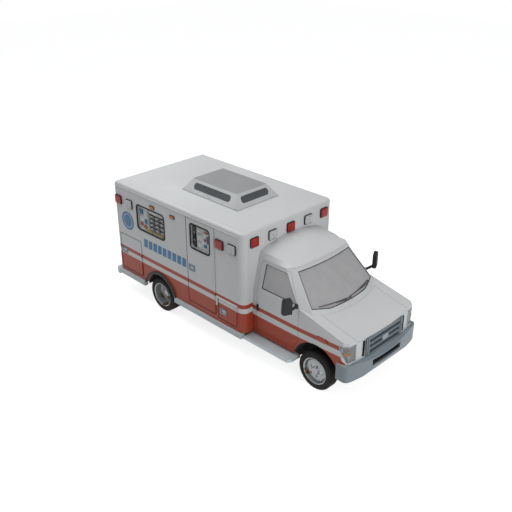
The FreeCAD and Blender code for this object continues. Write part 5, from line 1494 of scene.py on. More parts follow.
    def rear(self) -> None:
        """Dresses the rear doors with hinges, latch, handles and a blank plate."""
        for side in Side:
            way = side.value
            body = f"{side.word}_rear_door"
            metal = Shape(f"{body}_furniture", BRIGHT_STEEL)
            for z in (1.06, 1.46, 2.13):
                metal.disc((BOX_REAR - 0.0093, way * 0.637, z), Axis.Z, 0.0104, -0.045, 0.045, 16, 0.002)
                metal.tile((way * 0.585, z), (0.080, 0.070), 0.010, REAR_FACE, 0.0, 0.005, 0.002)
            bar = [(BOX_REAR - 0.002, way * 0.560, 1.20), (BOX_REAR - 0.040, way * 0.560, 1.23),
                   (BOX_REAR - 0.040, way * 0.560, 1.43), (BOX_REAR - 0.002, way * 0.560, 1.46)]
            if side is Side.RIGHT:
                latch_y = way * 0.090
                tray = rounded_outline((latch_y, 1.330), (0.098, 0.190), 0.016)
                metal.use(BUMPER_COAT).ring(tray, scaled_outline(tray, 0.013), REAR_FACE, 0.0, 0.009)
                # The flat black plate inside the tray is painted shade for the latch's recess.
                metal.use(BLACK_AND_RECESS_SHADE).prism(scaled_outline(tray, 0.012), REAR_FACE, -0.001, 0.001)
                metal.use(BRIGHT_STEEL).tile((latch_y, 1.350), (0.052, 0.110), 0.012, REAR_FACE, 0.001, 0.012, 0.005)
            metal.use(BRIGHT_STEEL).tube(bar, 0.011, 12)
            for z in (0.930, 2.200):
                metal.use(ZINC).disc((BOX_REAR, way * 0.070, z), Axis.X, 0.011, 0.0, -0.010, 6, 0.002)
            metal.place("metal_trim", body)
        plate = Shape("blank_rear_plate", MILL_ALLOY)
        plate.prism(rounded_outline((0.0, 0.700), (0.305, 0.152), 0.012), REAR_FACE, 0.0005, 0.003)
        for way in (-1, 1):
            plate.use(ZINC).disc((BOX_REAR, way * 0.0889, 0.700), Axis.X, 0.008, -0.003, -0.007, 6, 0.001)
        plate.place("metal_trim")

    def build(self) -> None:
        """Builds the box's outside."""
        self.door_edges()
        self.latches()
        self.window_frames()
        self.marks()
        self.trim()
        self.rear()


# ---------------------------------------------------------------- roof unit, steps and arches
@dataclass
class RoofUnit:
    """Louvres that fill the air unit's slots, and the screws of its lid."""

    slot_low: float = 2.642
    slot_high: float = 2.758
    chamfer: float = 0.034
    foot: float = 2.590
    run: Flat = (FRONT_AXLE - 3.695, FRONT_AXLE - 2.655)
    front_half: float = 0.361
    bed: Flat = (0.034, 0.016)
    louvres: int = 6
    first: float = 0.010
    pitch: float = 0.018
    section: tuple[Flat, ...] = ((0.0, 0.018), (-0.001, 0.006), (0.004, 0.004), (0.007, 0.018))
    screw_spots: tuple[float, ...] = (-3.92, -3.55, -3.17, -2.80, -2.43)

    def slot(self, shape: Shape, low: float, high: float, place: Callable[[float, float, float], Point]) -> None:
        """Fills one slot with a dark bed and its louvres.

        Args:
            shape: the shape that takes them.
            low: where the slot starts along its run.
            high: where it ends.
            place: turns the place along the run, the height and the depth in the slope to a point.
        """
        middle, cut = (self.slot_low + self.slot_high) / 2, self.chamfer
        sill, head = self.slot_low + 0.001, self.slot_high - 0.001
        outline = [(low, middle), (low + cut, sill), (high - cut, sill), (high, middle), (high - cut, head),
                   (low + cut, head)]
        shape.loft([[place(a, z, depth) for a, z in outline] for depth in self.bed])
        for i in range(self.louvres):
            z = self.slot_low + self.first + i * self.pitch
            gap = self.chamfer * abs(z - middle) / (self.slot_high - middle) + 0.006
            shape.loft([[place(a, z + rise, depth) for rise, depth in self.section] for a in (low + gap, high - gap)])

    def build(self) -> None:
        """Builds the louvres in the two long slots and the front one, then the screws."""
        shape = Shape("roof_unit_louvres", LOUVRE_GREY)
        for side in Side:
            self.slot(shape, *self.run, lambda x, z, depth: (
                x, side.value * (0.560 - (z - self.foot) * (0.160 / 0.220) - depth), z))
        self.slot(shape, -self.front_half, self.front_half, lambda y, z, depth: (
            FRONT_AXLE - 2.380 - (z - self.foot) * (0.170 / 0.220) - depth, y, z))
        shape.place("grey_plastic")
        skin, screws = Skin("roof_air_unit"), Shape("roof_unit_screws", ZINC)
        for x in self.screw_spots:
            for way in (-1, 1):
                spot = skin.on((FRONT_AXLE + x, way * 0.545, 3.2), (0.0, 0.0, -1.0))
                if spot:
                    screws.disc(tuple(spot), Axis.Z, 0.009, -0.001, 0.004, 12, 0.001)
        screws.place("metal_trim")


@dataclass
class Arches:
    """Felt liners inside the wheel arches, and the boot between cab and box."""

    front_radius: float = 0.5385
    rear_radius: float = 0.4785
    axle_height: float = 0.372
    wall_foot: float = 0.330
    steps: int = 28
    axle_notch: Flat = (0.150, 0.560)

    def liner(self, name: str, x: float, radius: float, low_deg: float, high_deg: float, inner: float,
              outer: float, side: Side) -> None:
        """Builds one liner: a curved shell with a wall on its inner side.

        Args:
            name: the piece's name.
            x: the wheel's place along the vehicle.
            radius: the shell's radius.
            low_deg: where the shell starts, from the front.
            high_deg: where it ends.
            inner: the wall's distance from the middle.
            outer: the shell's outer edge.
            side: the side of the vehicle.
        """
        way = side.value
        angles = [math.radians(low_deg + (high_deg - low_deg) * i / self.steps) for i in range(self.steps + 1)]

        def at(r: float, y: float, angle: float) -> Point:
            """Gives a point of the arc by its radius, distance from the middle and angle."""
            return x + r * math.cos(angle), way * y, self.axle_height + r * math.sin(angle)

        shape = Shape(name, LINER_FELT)
        section = ((radius, outer), (radius, inner), (radius - 0.004, inner), (radius - 0.004, outer))
        shape.loft([[at(r, y, angle) for r, y in section] for angle in angles])
        reach, foot, notch = radius - 0.030, self.wall_foot, self.axle_notch
        wall = [(p[0], p[2]) for p in (at(radius - 0.002, inner, angle) for angle in angles)]
        wall += [(x - radius - 0.008, wall[-1][1]), (x - radius - 0.008, foot), (x - notch[0], foot),
                 (x - notch[0], notch[1]), (x + notch[0], notch[1]),
                 (x + notch[0], foot), (x + reach, foot)]
        shape.prism(wall, side.wall(inner), 0.0, 0.004)
        plates = [(inner, min(outer, 0.896), foot, 0.570), (0.894, 0.948, 0.474, 0.565)]
        if outer > 1.0:
            plates.append((0.940, outer + 0.008, 0.440, 0.600))
        for near, far, low, high in plates:
            shape.block((x - radius - 0.012, way * near, low), (x - radius - 0.006, way * far, high))
        shape.place("black_plastic")

    def boot(self) -> None:
        """Closes the gaps between the cab's back, the box and the boards."""
        half = [(0.0, 0.505), (0.976, 0.505), (0.976, 1.096), (0.956, 1.430), (0.816, 2.016), (0.790, 2.060)]
        section = half + [(-y, z) for y, z in reversed(half[1:])]
        shape = Shape("cab_to_box_boot", CAB_LIVERY)
        inner = scaled_outline(section, 0.006)
        shape.ring(section, inner, Face(Axis.X, BOX_FRONT), -0.001, 0.075)
        for way in (-1, 1):
            shape.use(BOX_LIVERY).block((BOX_FRONT - 0.012, way * 0.905, 0.522),
                                        (BOX_FRONT - 0.0015, way * 1.006, 0.900))
        shape.place("body_paint")
        apron = Shape("board_inner_aprons", TREAD_COAT)
        for way in (-1, 1):
            apron.use(TREAD_COAT).block((BOX_FRONT - 0.036, way * 0.560, 0.452),
                                        (FRONT_AXLE - 0.640, way * 0.902, 0.4685))
            apron.use(BLACK_ABS).block((BOX_FRONT - 0.034, way * 0.560, 0.420),
                                       (BOX_FRONT - 0.028, way * 1.180, 0.524))
        apron.place("metal_trim")

    def build(self) -> None:
        """Builds the four liners and the boot."""
        for side in Side:
            self.liner(f"{side.word}_front_arch_liner", FRONT_AXLE, self.front_radius, 16.0, 164.0, 0.578, 0.950,
                       side)
            self.liner(f"{side.word}_rear_arch_liner", REAR_AXLE, self.rear_radius, 18.0, 162.0, 0.690, 1.150, side)
        self.boot()


@dataclass
class StepTreads:
    """Grip ribs on the running boards and the rear step."""

    board_run: Flat = (FRONT_AXLE - 1.540, FRONT_AXLE - 0.520)
    board_ribs: int = 4
    board_first: float = 1.020
    board_pitch: float = 0.040
    step_run: Flat = (BOX_REAR - 0.130, BOX_REAR - 0.050)
    step_ribs: int = 46
    step_first: float = -1.200
    step_pitch: float = 0.0533

    def build(self) -> None:
        """Builds the ribs."""
        board = Shape("running_board_ribs", TREAD_COAT)
        for side in Side:
            for i in range(self.board_ribs):
                y = side.value * (self.board_first + self.board_pitch * i)
                board.tube([(x, y, 0.4705) for x in self.board_run], 0.0045, 6)
        board.place("metal_trim")
        rear = Shape("rear_step_ribs", ZINC)
        for i in range(self.step_ribs):
            rear.tube([(x, self.step_first + i * self.step_pitch, 0.5153) for x in self.step_run], 0.004, 6)
        rear.place("metal_trim")


# ---------------------------------------------------------------- upholstery
@dataclass
class Padding:
    """How a foam pad under a sewn cover is swelled and stitched."""

    voxel: float = 0.014
    swell: float = 0.010
    pressure: float = 4.0
    seam_depth: float = 0.009
    seam_width: float = 0.012

    def skin(self, pad: bpy.types.Object) -> None:
        """Bakes a pad's modifiers into its mesh.

        Args:
            pad: the pad.
        """
        graph = bpy.context.evaluated_depsgraph_get()
        made = bpy.data.meshes.new_from_object(pad.evaluated_get(graph))
        pad.modifiers.clear()
        pad.data = made
        made.polygons.foreach_set("use_smooth", [True] * len(made.polygons))

    def swelled(self, pad: bpy.types.Object) -> list[Vector]:
        """Runs the cloth over twenty frames and gives where each point ends.

        Args:
            pad: the pad.

        Returns:
            Each point's end, in the mesh's order.
        """
        cloth = pad.modifiers.new("swell", "CLOTH")
        cloth.settings.use_pressure = True
        cloth.settings.uniform_pressure_force = self.pressure
        cloth.settings.effector_weights.gravity = 0.0
        cloth.point_cache.frame_start, cloth.point_cache.frame_end = 1, 20
        for step in range(1, 21):
            bpy.context.scene.frame_set(step)
        graph = bpy.context.evaluated_depsgraph_get()
        ends = [v.co.copy() for v in pad.evaluated_get(graph).data.vertices]
        pad.modifiers.clear()
        bpy.context.scene.frame_set(1)
        return ends

    def stuff(self, pad: bpy.types.Object, seams: Sequence[tuple[Axis, float]], rests: Axis, floor: float,
              fill: float) -> None:
        """Swells a pad, keeps its resting face flat and sews its channels.

        Args:
            pad: the pad, a little smaller than it ends.
            seams: each channel's axis and place along it.
            rests: the axis across its resting face.
            floor: where that face is.
            fill: how tight it is, from 0 to 1; not used.
        """
        mesh = pad.modifiers.new("skin", "REMESH")
        mesh.mode, mesh.voxel_size = "VOXEL", self.voxel
        self.skin(pad)
        starts = [v.co.copy() for v in pad.data.vertices]
        middle = sum(starts, Vector()) / len(starts)
        ends = self.swelled(pad)
        below = floor < middle[rests.value]
        for vertex, start, end in zip(pad.data.vertices, starts, ends):
            move = end - start
            if move.length > self.swell:
                move *= self.swell / move.length
            at = start + move
            dip = sum(math.exp(-((at[axis.value] - place) / self.seam_width) ** 2) for axis, place in seams)
            at -= vertex.normal * min(dip, 1.0) * self.seam_depth
            at[rests.value] = max(at[rests.value], floor) if below else min(at[rests.value], floor)
            vertex.co = at
        pad.data.update()
        pad.modifiers.new("smooth", "SUBSURF").render_levels = 1


@dataclass
class Seats:
    """The two cab seats with their bases, pads and headrests, and the squad bench with its pads and piping."""

    seat_y: float = 0.430
    padding: Padding = field(default_factory=Padding)

    def piping(self, name: str, paths: Sequence[Sequence[Point]]) -> None:
        """Runs a round welt along seams.

        Args:
            name: the piece's name.
            paths: the closed seams.
        """
        welt = Shape(name, SEAL_RUBBER)
        for path in paths:
            welt.tube(path, 0.004, 6, closed=True)
        welt.place("seat_vinyl")

    def cab_seat(self, side: Side) -> None:
        """Builds one cab seat: base, cushion, back and headrest.

        Args:
            side: the side that it stands on.
        """
        word, mid = side.word, side.value * self.seat_y
        base = Shape(f"{word}_seat_base", BLACK_ABS)
        base.block((FRONT_AXLE - 1.225, mid - 0.195, 0.741), (FRONT_AXLE - 0.765, mid + 0.195, 0.900))
        base.use(CHASSIS_BLACK)
        for y in (-0.205, 0.180):
            base.block((FRONT_AXLE - 1.235, mid + y, 0.742), (FRONT_AXLE - 0.755, mid + y + 0.025, 0.790))
        base.use(BLACK_ABS).tile((FRONT_AXLE - 0.990, 0.850), (0.300, 0.080), 0.030, Face(Axis.Y, mid, -1.0), 0.190,
                                 0.222, 0.010)
        base.place("black_plastic", bevel=0.008)
        cushion = Shape(f"{word}_seat_cushion", SEAT_CLOTH)
        cushion.tile((FRONT_AXLE - 0.985, mid), (0.512, 0.472), 0.070, UPWARD, 0.931, 1.062, 0.045)
        seat = cushion.place("seat_vinyl", replaces=["cab_seats"] if side is Side.LEFT else ())
        self.padding.stuff(seat, [(Axis.Y, mid - 0.150), (Axis.Y, mid + 0.150), (Axis.X, FRONT_AXLE - 0.870)],
                           Axis.Z, 0.9305, 0.8)
        back = Shape(f"{word}_seat_back", SEAT_CLOTH)
        outline = [(FRONT_AXLE + x, z) for x, z in ((-1.205, 1.085), (-1.310, 1.625), (-1.408, 1.625),
                                                    (-1.322, 1.055), (-1.255, 1.055))]
        back.prism(outline, Face(Axis.Y, mid), -0.226, 0.226)
        rest = back.place("seat_vinyl", bevel=0.035)
        self.padding.stuff(rest, [(Axis.Y, mid - 0.145), (Axis.Y, mid + 0.145), (Axis.Z, 1.340)], Axis.X,
                           FRONT_AXLE - 1.418, 0.8)
        head = Shape(f"{word}_headrest", SEAT_CLOTH)
        outline = [(FRONT_AXLE + x, z) for x, z in ((-1.338, 1.655), (-1.356, 1.792), (-1.424, 1.792),
                                                    (-1.416, 1.655))]
        head.prism(outline, Face(Axis.Y, mid), -0.122, 0.122)
        made = head.place("seat_vinyl", bevel=0.024)
        Padding(voxel=0.010, swell=0.006).stuff(made, [], Axis.X, FRONT_AXLE - 1.429, 0.9)
        stems = Shape(f"{word}_headrest_stems", BRIGHT_STEEL)
        for y in (-0.060, 0.060):
            stems.disc((FRONT_AXLE - 1.372, mid + y, 1.600), Axis.Z, 0.006, 0.0, 0.090, 10)
        stems.place("metal_trim")
        belt = Shape(f"{word}_belt_buckle", BLACK_ABS)
        belt.tube([(FRONT_AXLE - 1.180, mid - side.value * 0.262, 0.800),
                   (FRONT_AXLE - 1.150, mid - side.value * 0.262, 1.040)], 0.010, 8, flatten=2.2)
        belt.use(RED_TRIM).block((FRONT_AXLE - 1.166, mid - side.value * 0.262 - 0.012, 1.040),
                                 (FRONT_AXLE - 1.136, mid - side.value * 0.262 + 0.012, 1.062))
        belt.place("black_plastic", bevel=0.002)

    def bench(self) -> None:
        """Builds the bench's seat and back pads, in three sewn lengths each."""
        left, right = FRONT_AXLE - 4.562, FRONT_AXLE - 3.178
        middle, span = (left + right) / 2, right - left
        thirds = [left + span / 3, left + span * 2 / 3]
        firm = Padding(voxel=0.016, swell=0.007, seam_depth=0.011, seam_width=0.014)
        seat = Shape("bench_seat_pad", SEAT_VINYL)
        seat.tile((middle, -0.9455), (span, 0.416), 0.030, UPWARD, 1.2505, 1.323, 0.024)
        made = seat.place("seat_vinyl", replaces=["bench_cushions"])
        firm.stuff(made, [(Axis.X, x) for x in thirds], Axis.Z, 1.2505, 0.85)
        back = Shape("bench_back_pad", SEAT_VINYL)
        back.tile((middle, 1.5005), (span, 0.325), 0.030, Face(Axis.Y), -1.1592, -1.096, 0.022)
        made = back.place("seat_vinyl")
        firm.stuff(made, [(Axis.X, x) for x in thirds], Axis.Y, -1.1592, 0.85)
        self.piping("bench_piping", [
            [(x, y, 1.300) for x, y in rounded_outline((middle, -0.9455), (span + 0.006, 0.424), 0.032)],
            [(x, -1.118, z) for x, z in rounded_outline((middle, 1.5005), (span + 0.006, 0.332), 0.032)]])

    def build(self) -> None:
        """Builds every seat."""
        for side in Side:
            self.cab_seat(side)
        self.bench()


# ---------------------------------------------------------------- the insides that show
@dataclass
class Interior:
    """Bins, cupboard doors and rails in the box, and the dash and door cards in the cab."""

    rack_face: float = -1.1605
    cupboard_face: float = 0.730
    bin_columns: int = 3
    bin_rows: int = 4

    def window_rack(self) -> None:
        """Fills the fixed window with the back of the supply rack: bins, a header and a yellow strip."""
        y, panel = self.rack_face, Face(Axis.Y, self.rack_face, -1.0)
        shape = Shape("supply_rack_window_side", LAMINATE)
        rear, front = FRONT_AXLE - 4.646, FRONT_AXLE - 3.790
        shape.prism(rounded_outline(((rear + front) / 2, 1.970), (front - rear, 0.512), 0.085), panel, 0.0, 0.004)
        grid = (FRONT_AXLE - 4.300, FRONT_AXLE - 3.800)
        shape.use(BLACK_AND_RECESS_SHADE).block((grid[0], y - 0.010, 1.752), (grid[1], y - 0.004, 2.120))
        wide, high = (grid[1] - grid[0]) / self.bin_columns, 0.368 / self.bin_rows
        for column in range(self.bin_columns):
            for row in range(self.bin_rows):
                centre = (grid[0] + wide * (column + 0.5), 1.752 + high * (row + 0.5))
                shape.use(DARK_BIN).tile(centre, (wide - 0.018, high - 0.018), 0.010, panel, 0.009, 0.024, 0.005)
                shape.use(LAMINATE).tile((centre[0], centre[1] + 0.014), (wide * 0.42, 0.016), 0.003, panel, 0.023,
                                         0.0265, 0.001)
        shape.use(LAMINATE).tile((FRONT_AXLE - 4.050, 2.168), (0.490, 0.060), 0.008, panel, 0.003, 0.020, 0.004)
        shape.use(YELLOW_TRIM).tile((FRONT_AXLE - 4.130, 1.733), (0.640, 0.026), 0.006, panel, 0.003, 0.022, 0.003)
        shape.use(GREY_ABS).tile((FRONT_AXLE - 4.332, 1.985), (0.044, 0.420), 0.008, panel, 0.003, 0.018, 0.004)
        packs = ((-4.560, 2.090, 0.100, 0.110, BLUE_FILM), (-4.440, 2.060, 0.090, 0.150, LAMINATE),
                 (-4.560, 1.940, 0.110, 0.120, LAMINATE), (-4.430, 1.900, 0.070, 0.100, BLUE_FILM),
                 (-4.570, 1.820, 0.080, 0.070, RED_TRIM), (-4.450, 1.790, 0.100, 0.060, RED_TRIM))
        for x, z, width, height, finish in packs:
            shape.use(finish).tile((FRONT_AXLE + x, z), (width, height), 0.008, panel, 0.003, 0.020, 0.005)
        shape.place("cabinet_laminate")

    def door_pockets(self) -> None:
        """Hangs an organiser behind the side door's window."""
        shape = Shape("side_door_organiser", LAMINATE)
        panel = Face(Axis.Y, -1.158, -1.0)
        shape.prism(rounded_outline((FRONT_AXLE - 2.7125, 2.095), (0.560, 0.520), 0.050), panel, 0.0, -0.012)
        columns = ((-2.920, 0.110, BLACK_AND_RECESS_SHADE), (-2.770, 0.140, LAMINATE))
        for x, width, finish in columns:
            shape.use(finish).tile((FRONT_AXLE + x, 2.095), (width, 0.470), 0.012, panel, -0.001, 0.012, 0.004)
        for i, z in enumerate((1.930, 2.010, 2.090, 2.170, 2.250)):
            shape.use(DARK_BIN if i % 2 else BLACK_ABS).tile((FRONT_AXLE - 2.920, z), (0.070, 0.052), 0.006, panel,
                                                             0.011, 0.026, 0.004)
            shape.use(GREY_ABS if i % 2 else LAMINATE).tile((FRONT_AXLE - 2.770, z), (0.096, 0.050), 0.006, panel,
                                                            0.011, 0.022, 0.004)
        for x, z, width, height, finish in ((-2.600, 2.240, 0.100, 0.040, RED_TRIM),
                                            (-2.560, 2.100, 0.040, 0.150, BLUE_FILM),
                                            (-2.630, 2.080, 0.050, 0.060, RED_TRIM),
                                            (-2.620, 1.960, 0.080, 0.060, BLUE_FILM)):
            shape.use(finish).tile((FRONT_AXLE + x, z), (width, height), 0.008, panel, -0.001, 0.014, 0.004)
        shape.place("cabinet_laminate", "side_entry_door")

    def cupboards(self) -> None:
        """Faces the tall cabinet and the bench base with doors, smoked sliders and pulls."""
        doors = Shape("cupboard_doors", LAMINATE)
        fronts = Face(Axis.Y, self.cupboard_face, -1.0)
        for i in range(5):
            rear = FRONT_AXLE - 4.570 + 0.463 * i
            centre = rear + 0.2265
            for low, high, finish in ((0.930, 1.330, LAMINATE), (1.345, 1.800, LAMINATE), (1.815, 2.350, DARK_BIN)):
                outline = rounded_outline((centre, (low + high) / 2), (0.449, high - low), 0.012)
                doors.use(LAMINATE).pad(outline, fronts, -0.001, 0.014, 0.003)
                if finish is DARK_BIN:
                    doors.use(DARK_BIN).pad(scaled_outline(outline, 0.030), fronts, 0.013, 0.017, 0.001)
                doors.use(BRIGHT_STEEL).tile((centre, low + 0.030), (0.110, 0.014), 0.006, fronts, 0.013, 0.030,
                                             0.004)
        for i in range(3):
            centre = FRONT_AXLE - 4.340 + 0.465 * i
            doors.use(LAMINATE).tile((centre, 1.075), (0.440, 0.300), 0.012, Face(Axis.Y), -0.7205, -0.706, 0.003)
            doors.use(BRIGHT_STEEL).tile((centre, 1.190), (0.110, 0.014), 0.006, Face(Axis.Y), -0.707, -0.694, 0.004)
        doors.place("cabinet_laminate")
        rail = Shape("ceiling_grab_rail", BRIGHT_STEEL)
        ends = (BOX_REAR + 0.350, BOX_FRONT - 0.450)
        rail.tube([(ends[0], -0.180, 2.486), (ends[0], -0.180, 2.430), (ends[0] + 0.040, -0.180, 2.410),
                   (ends[1] - 0.040, -0.180, 2.410), (ends[1], -0.180, 2.430), (ends[1], -0.180, 2.486)], 0.014, 12)
        rail.place("metal_trim")
        lights = Shape("ceiling_light_strips", CLEAR_LENS)
        for y_at in (-0.480, 0.330):
            for i in range(3):
                lights.tile((BOX_REAR + 0.750 + 1.150 * i, y_at), (0.700, 0.130), 0.030, UPWARD, 2.4895, 2.470, 0.010)
        lights.place("clear_lens")

    def dash(self) -> None:
        """Adds the instrument hood, gauges, centre stack, vents and glove box to the dash."""
        hood = Shape("instrument_hood", BLACK_ABS)
        outline = [(FRONT_AXLE + x, z) for x, z in ((-0.330, 1.300), (-0.370, 1.372), (-0.470, 1.392),
                                                    (-0.545, 1.372), (-0.552, 1.350), (-0.500, 1.332),
                                                    (-0.520, 1.300))]
        hood.prism(outline, Face(Axis.Y), 0.235, 0.565)
        hood.place("black_plastic", bevel=0.010)
        face = Skin("dashboard")

        def dash_at(y: float, z: float) -> Vector:
            """Finds the dash's face at a place across the cab."""
            return face.on((FRONT_AXLE - 1.0, y, z), (1.0, 0.0, 0.0))

        detail = Shape("dash_controls", GREY_ABS)
        for y in (0.330, 0.470):
            spot = dash_at(y, 1.285)
            detail.use(GREY_ABS).disc(tuple(spot), Axis.X, 0.056, 0.006, -0.010, 28, 0.004)
            detail.use(BLACK_AND_RECESS_SHADE).disc(tuple(spot), Axis.X, 0.046, -0.009, -0.0115, 28)
            detail.use(RED_TRIM).block((spot.x - 0.0135, y - 0.0015, 1.285), (spot.x - 0.0115, y + 0.0015, 1.322))
        for y, width in ((0.0, 0.250), (-0.450, 0.400)):
            spot = dash_at(y, 1.180)
            detail.use(BLACK_ABS).tile((y, 1.165), (width, 0.180), 0.016, Face(Axis.X, spot.x, -1.0), -0.030, 0.012,
                                       0.006)
        for i in range(3):
            y = -0.070 + 0.070 * i
            spot = dash_at(y, 1.120)
            detail.use(GREY_ABS).disc((spot.x - 0.002, y, 1.120), Axis.X, 0.020, 0.0, -0.030, 20, 0.004)
        detail.use(DARK_BIN).tile((0.0, 1.205), (0.180, 0.060), 0.006, Face(Axis.X, FRONT_AXLE, -1.0), 0.530, 0.562,
                                  0.003)
        # The vents are flat black strips, painted shade for their slots.
        for y in (-0.700, -0.220, 0.180, 0.680):
            spot = dash_at(y, 1.285)
            for i in range(4):
                detail.use(BLACK_AND_RECESS_SHADE).tile((y, 1.262 + 0.014 * i), (0.100, 0.007), 0.003, Face(Axis.X, spot.x, -1.0),
                                           -0.012, 0.004, 0.001)
        detail.place("black_plastic")
        boss = Shape("steering_wheel_pad", BLACK_ABS)
        axis = Vector((-0.87, 0.0, 0.5)).normalized()
        centre = Vector((FRONT_AXLE - 0.665, 0.400, 1.250)) + axis * 0.004
        across = Vector((0.0, 1.0, 0.0))
        up = axis.cross(across)
        loops = [[centre + axis * out + (across * a + up * b) for a, b in rounded_outline((0, 0), (w, h), 0.030)]
                 for out, w, h in ((-0.020, 0.150, 0.120), (0.016, 0.150, 0.120), (0.024, 0.136, 0.106))]
        boss.loft(loops)
        boss.place("black_plastic")

    def door_cards(self) -> None:
        """Sets a card, an armrest, a pocket and a pull on each cab door's inner face."""
        for side in Side:
            way = side.value
            card = Skin(f"{side.word}_cab_door")
            card_face = Face(Axis.Y, card.on((FRONT_AXLE - 1.0, 0.0, 1.000), (0.0, way, 0.0)).y, -way)
            shape = Shape(f"{side.word}_door_card", GREY_ABS)
            shape.tile((FRONT_AXLE - 1.010, 1.030), (0.700, 0.560), 0.060, card_face, -0.002, 0.008, 0.004)
            shape.use(BLACK_ABS).tile((FRONT_AXLE - 1.060, 1.120), (0.420, 0.066), 0.030, card_face, 0.0, 0.046,
                                      0.016)
            shape.tile((FRONT_AXLE - 1.000, 0.830), (0.520, 0.120), 0.020, card_face, 0.0, 0.034, 0.010)
            shape.use(BRIGHT_STEEL).tile((FRONT_AXLE - 0.760, 1.230), (0.090, 0.030), 0.012, card_face, 0.0, 0.022,
                                         0.006)
            shape.place("black_plastic", f"{side.word}_cab_door")

    def build(self) -> None:
        """Builds the insides."""
        self.window_rack()
        self.door_pockets()
        self.cupboards()
        self.dash()
        self.door_cards()


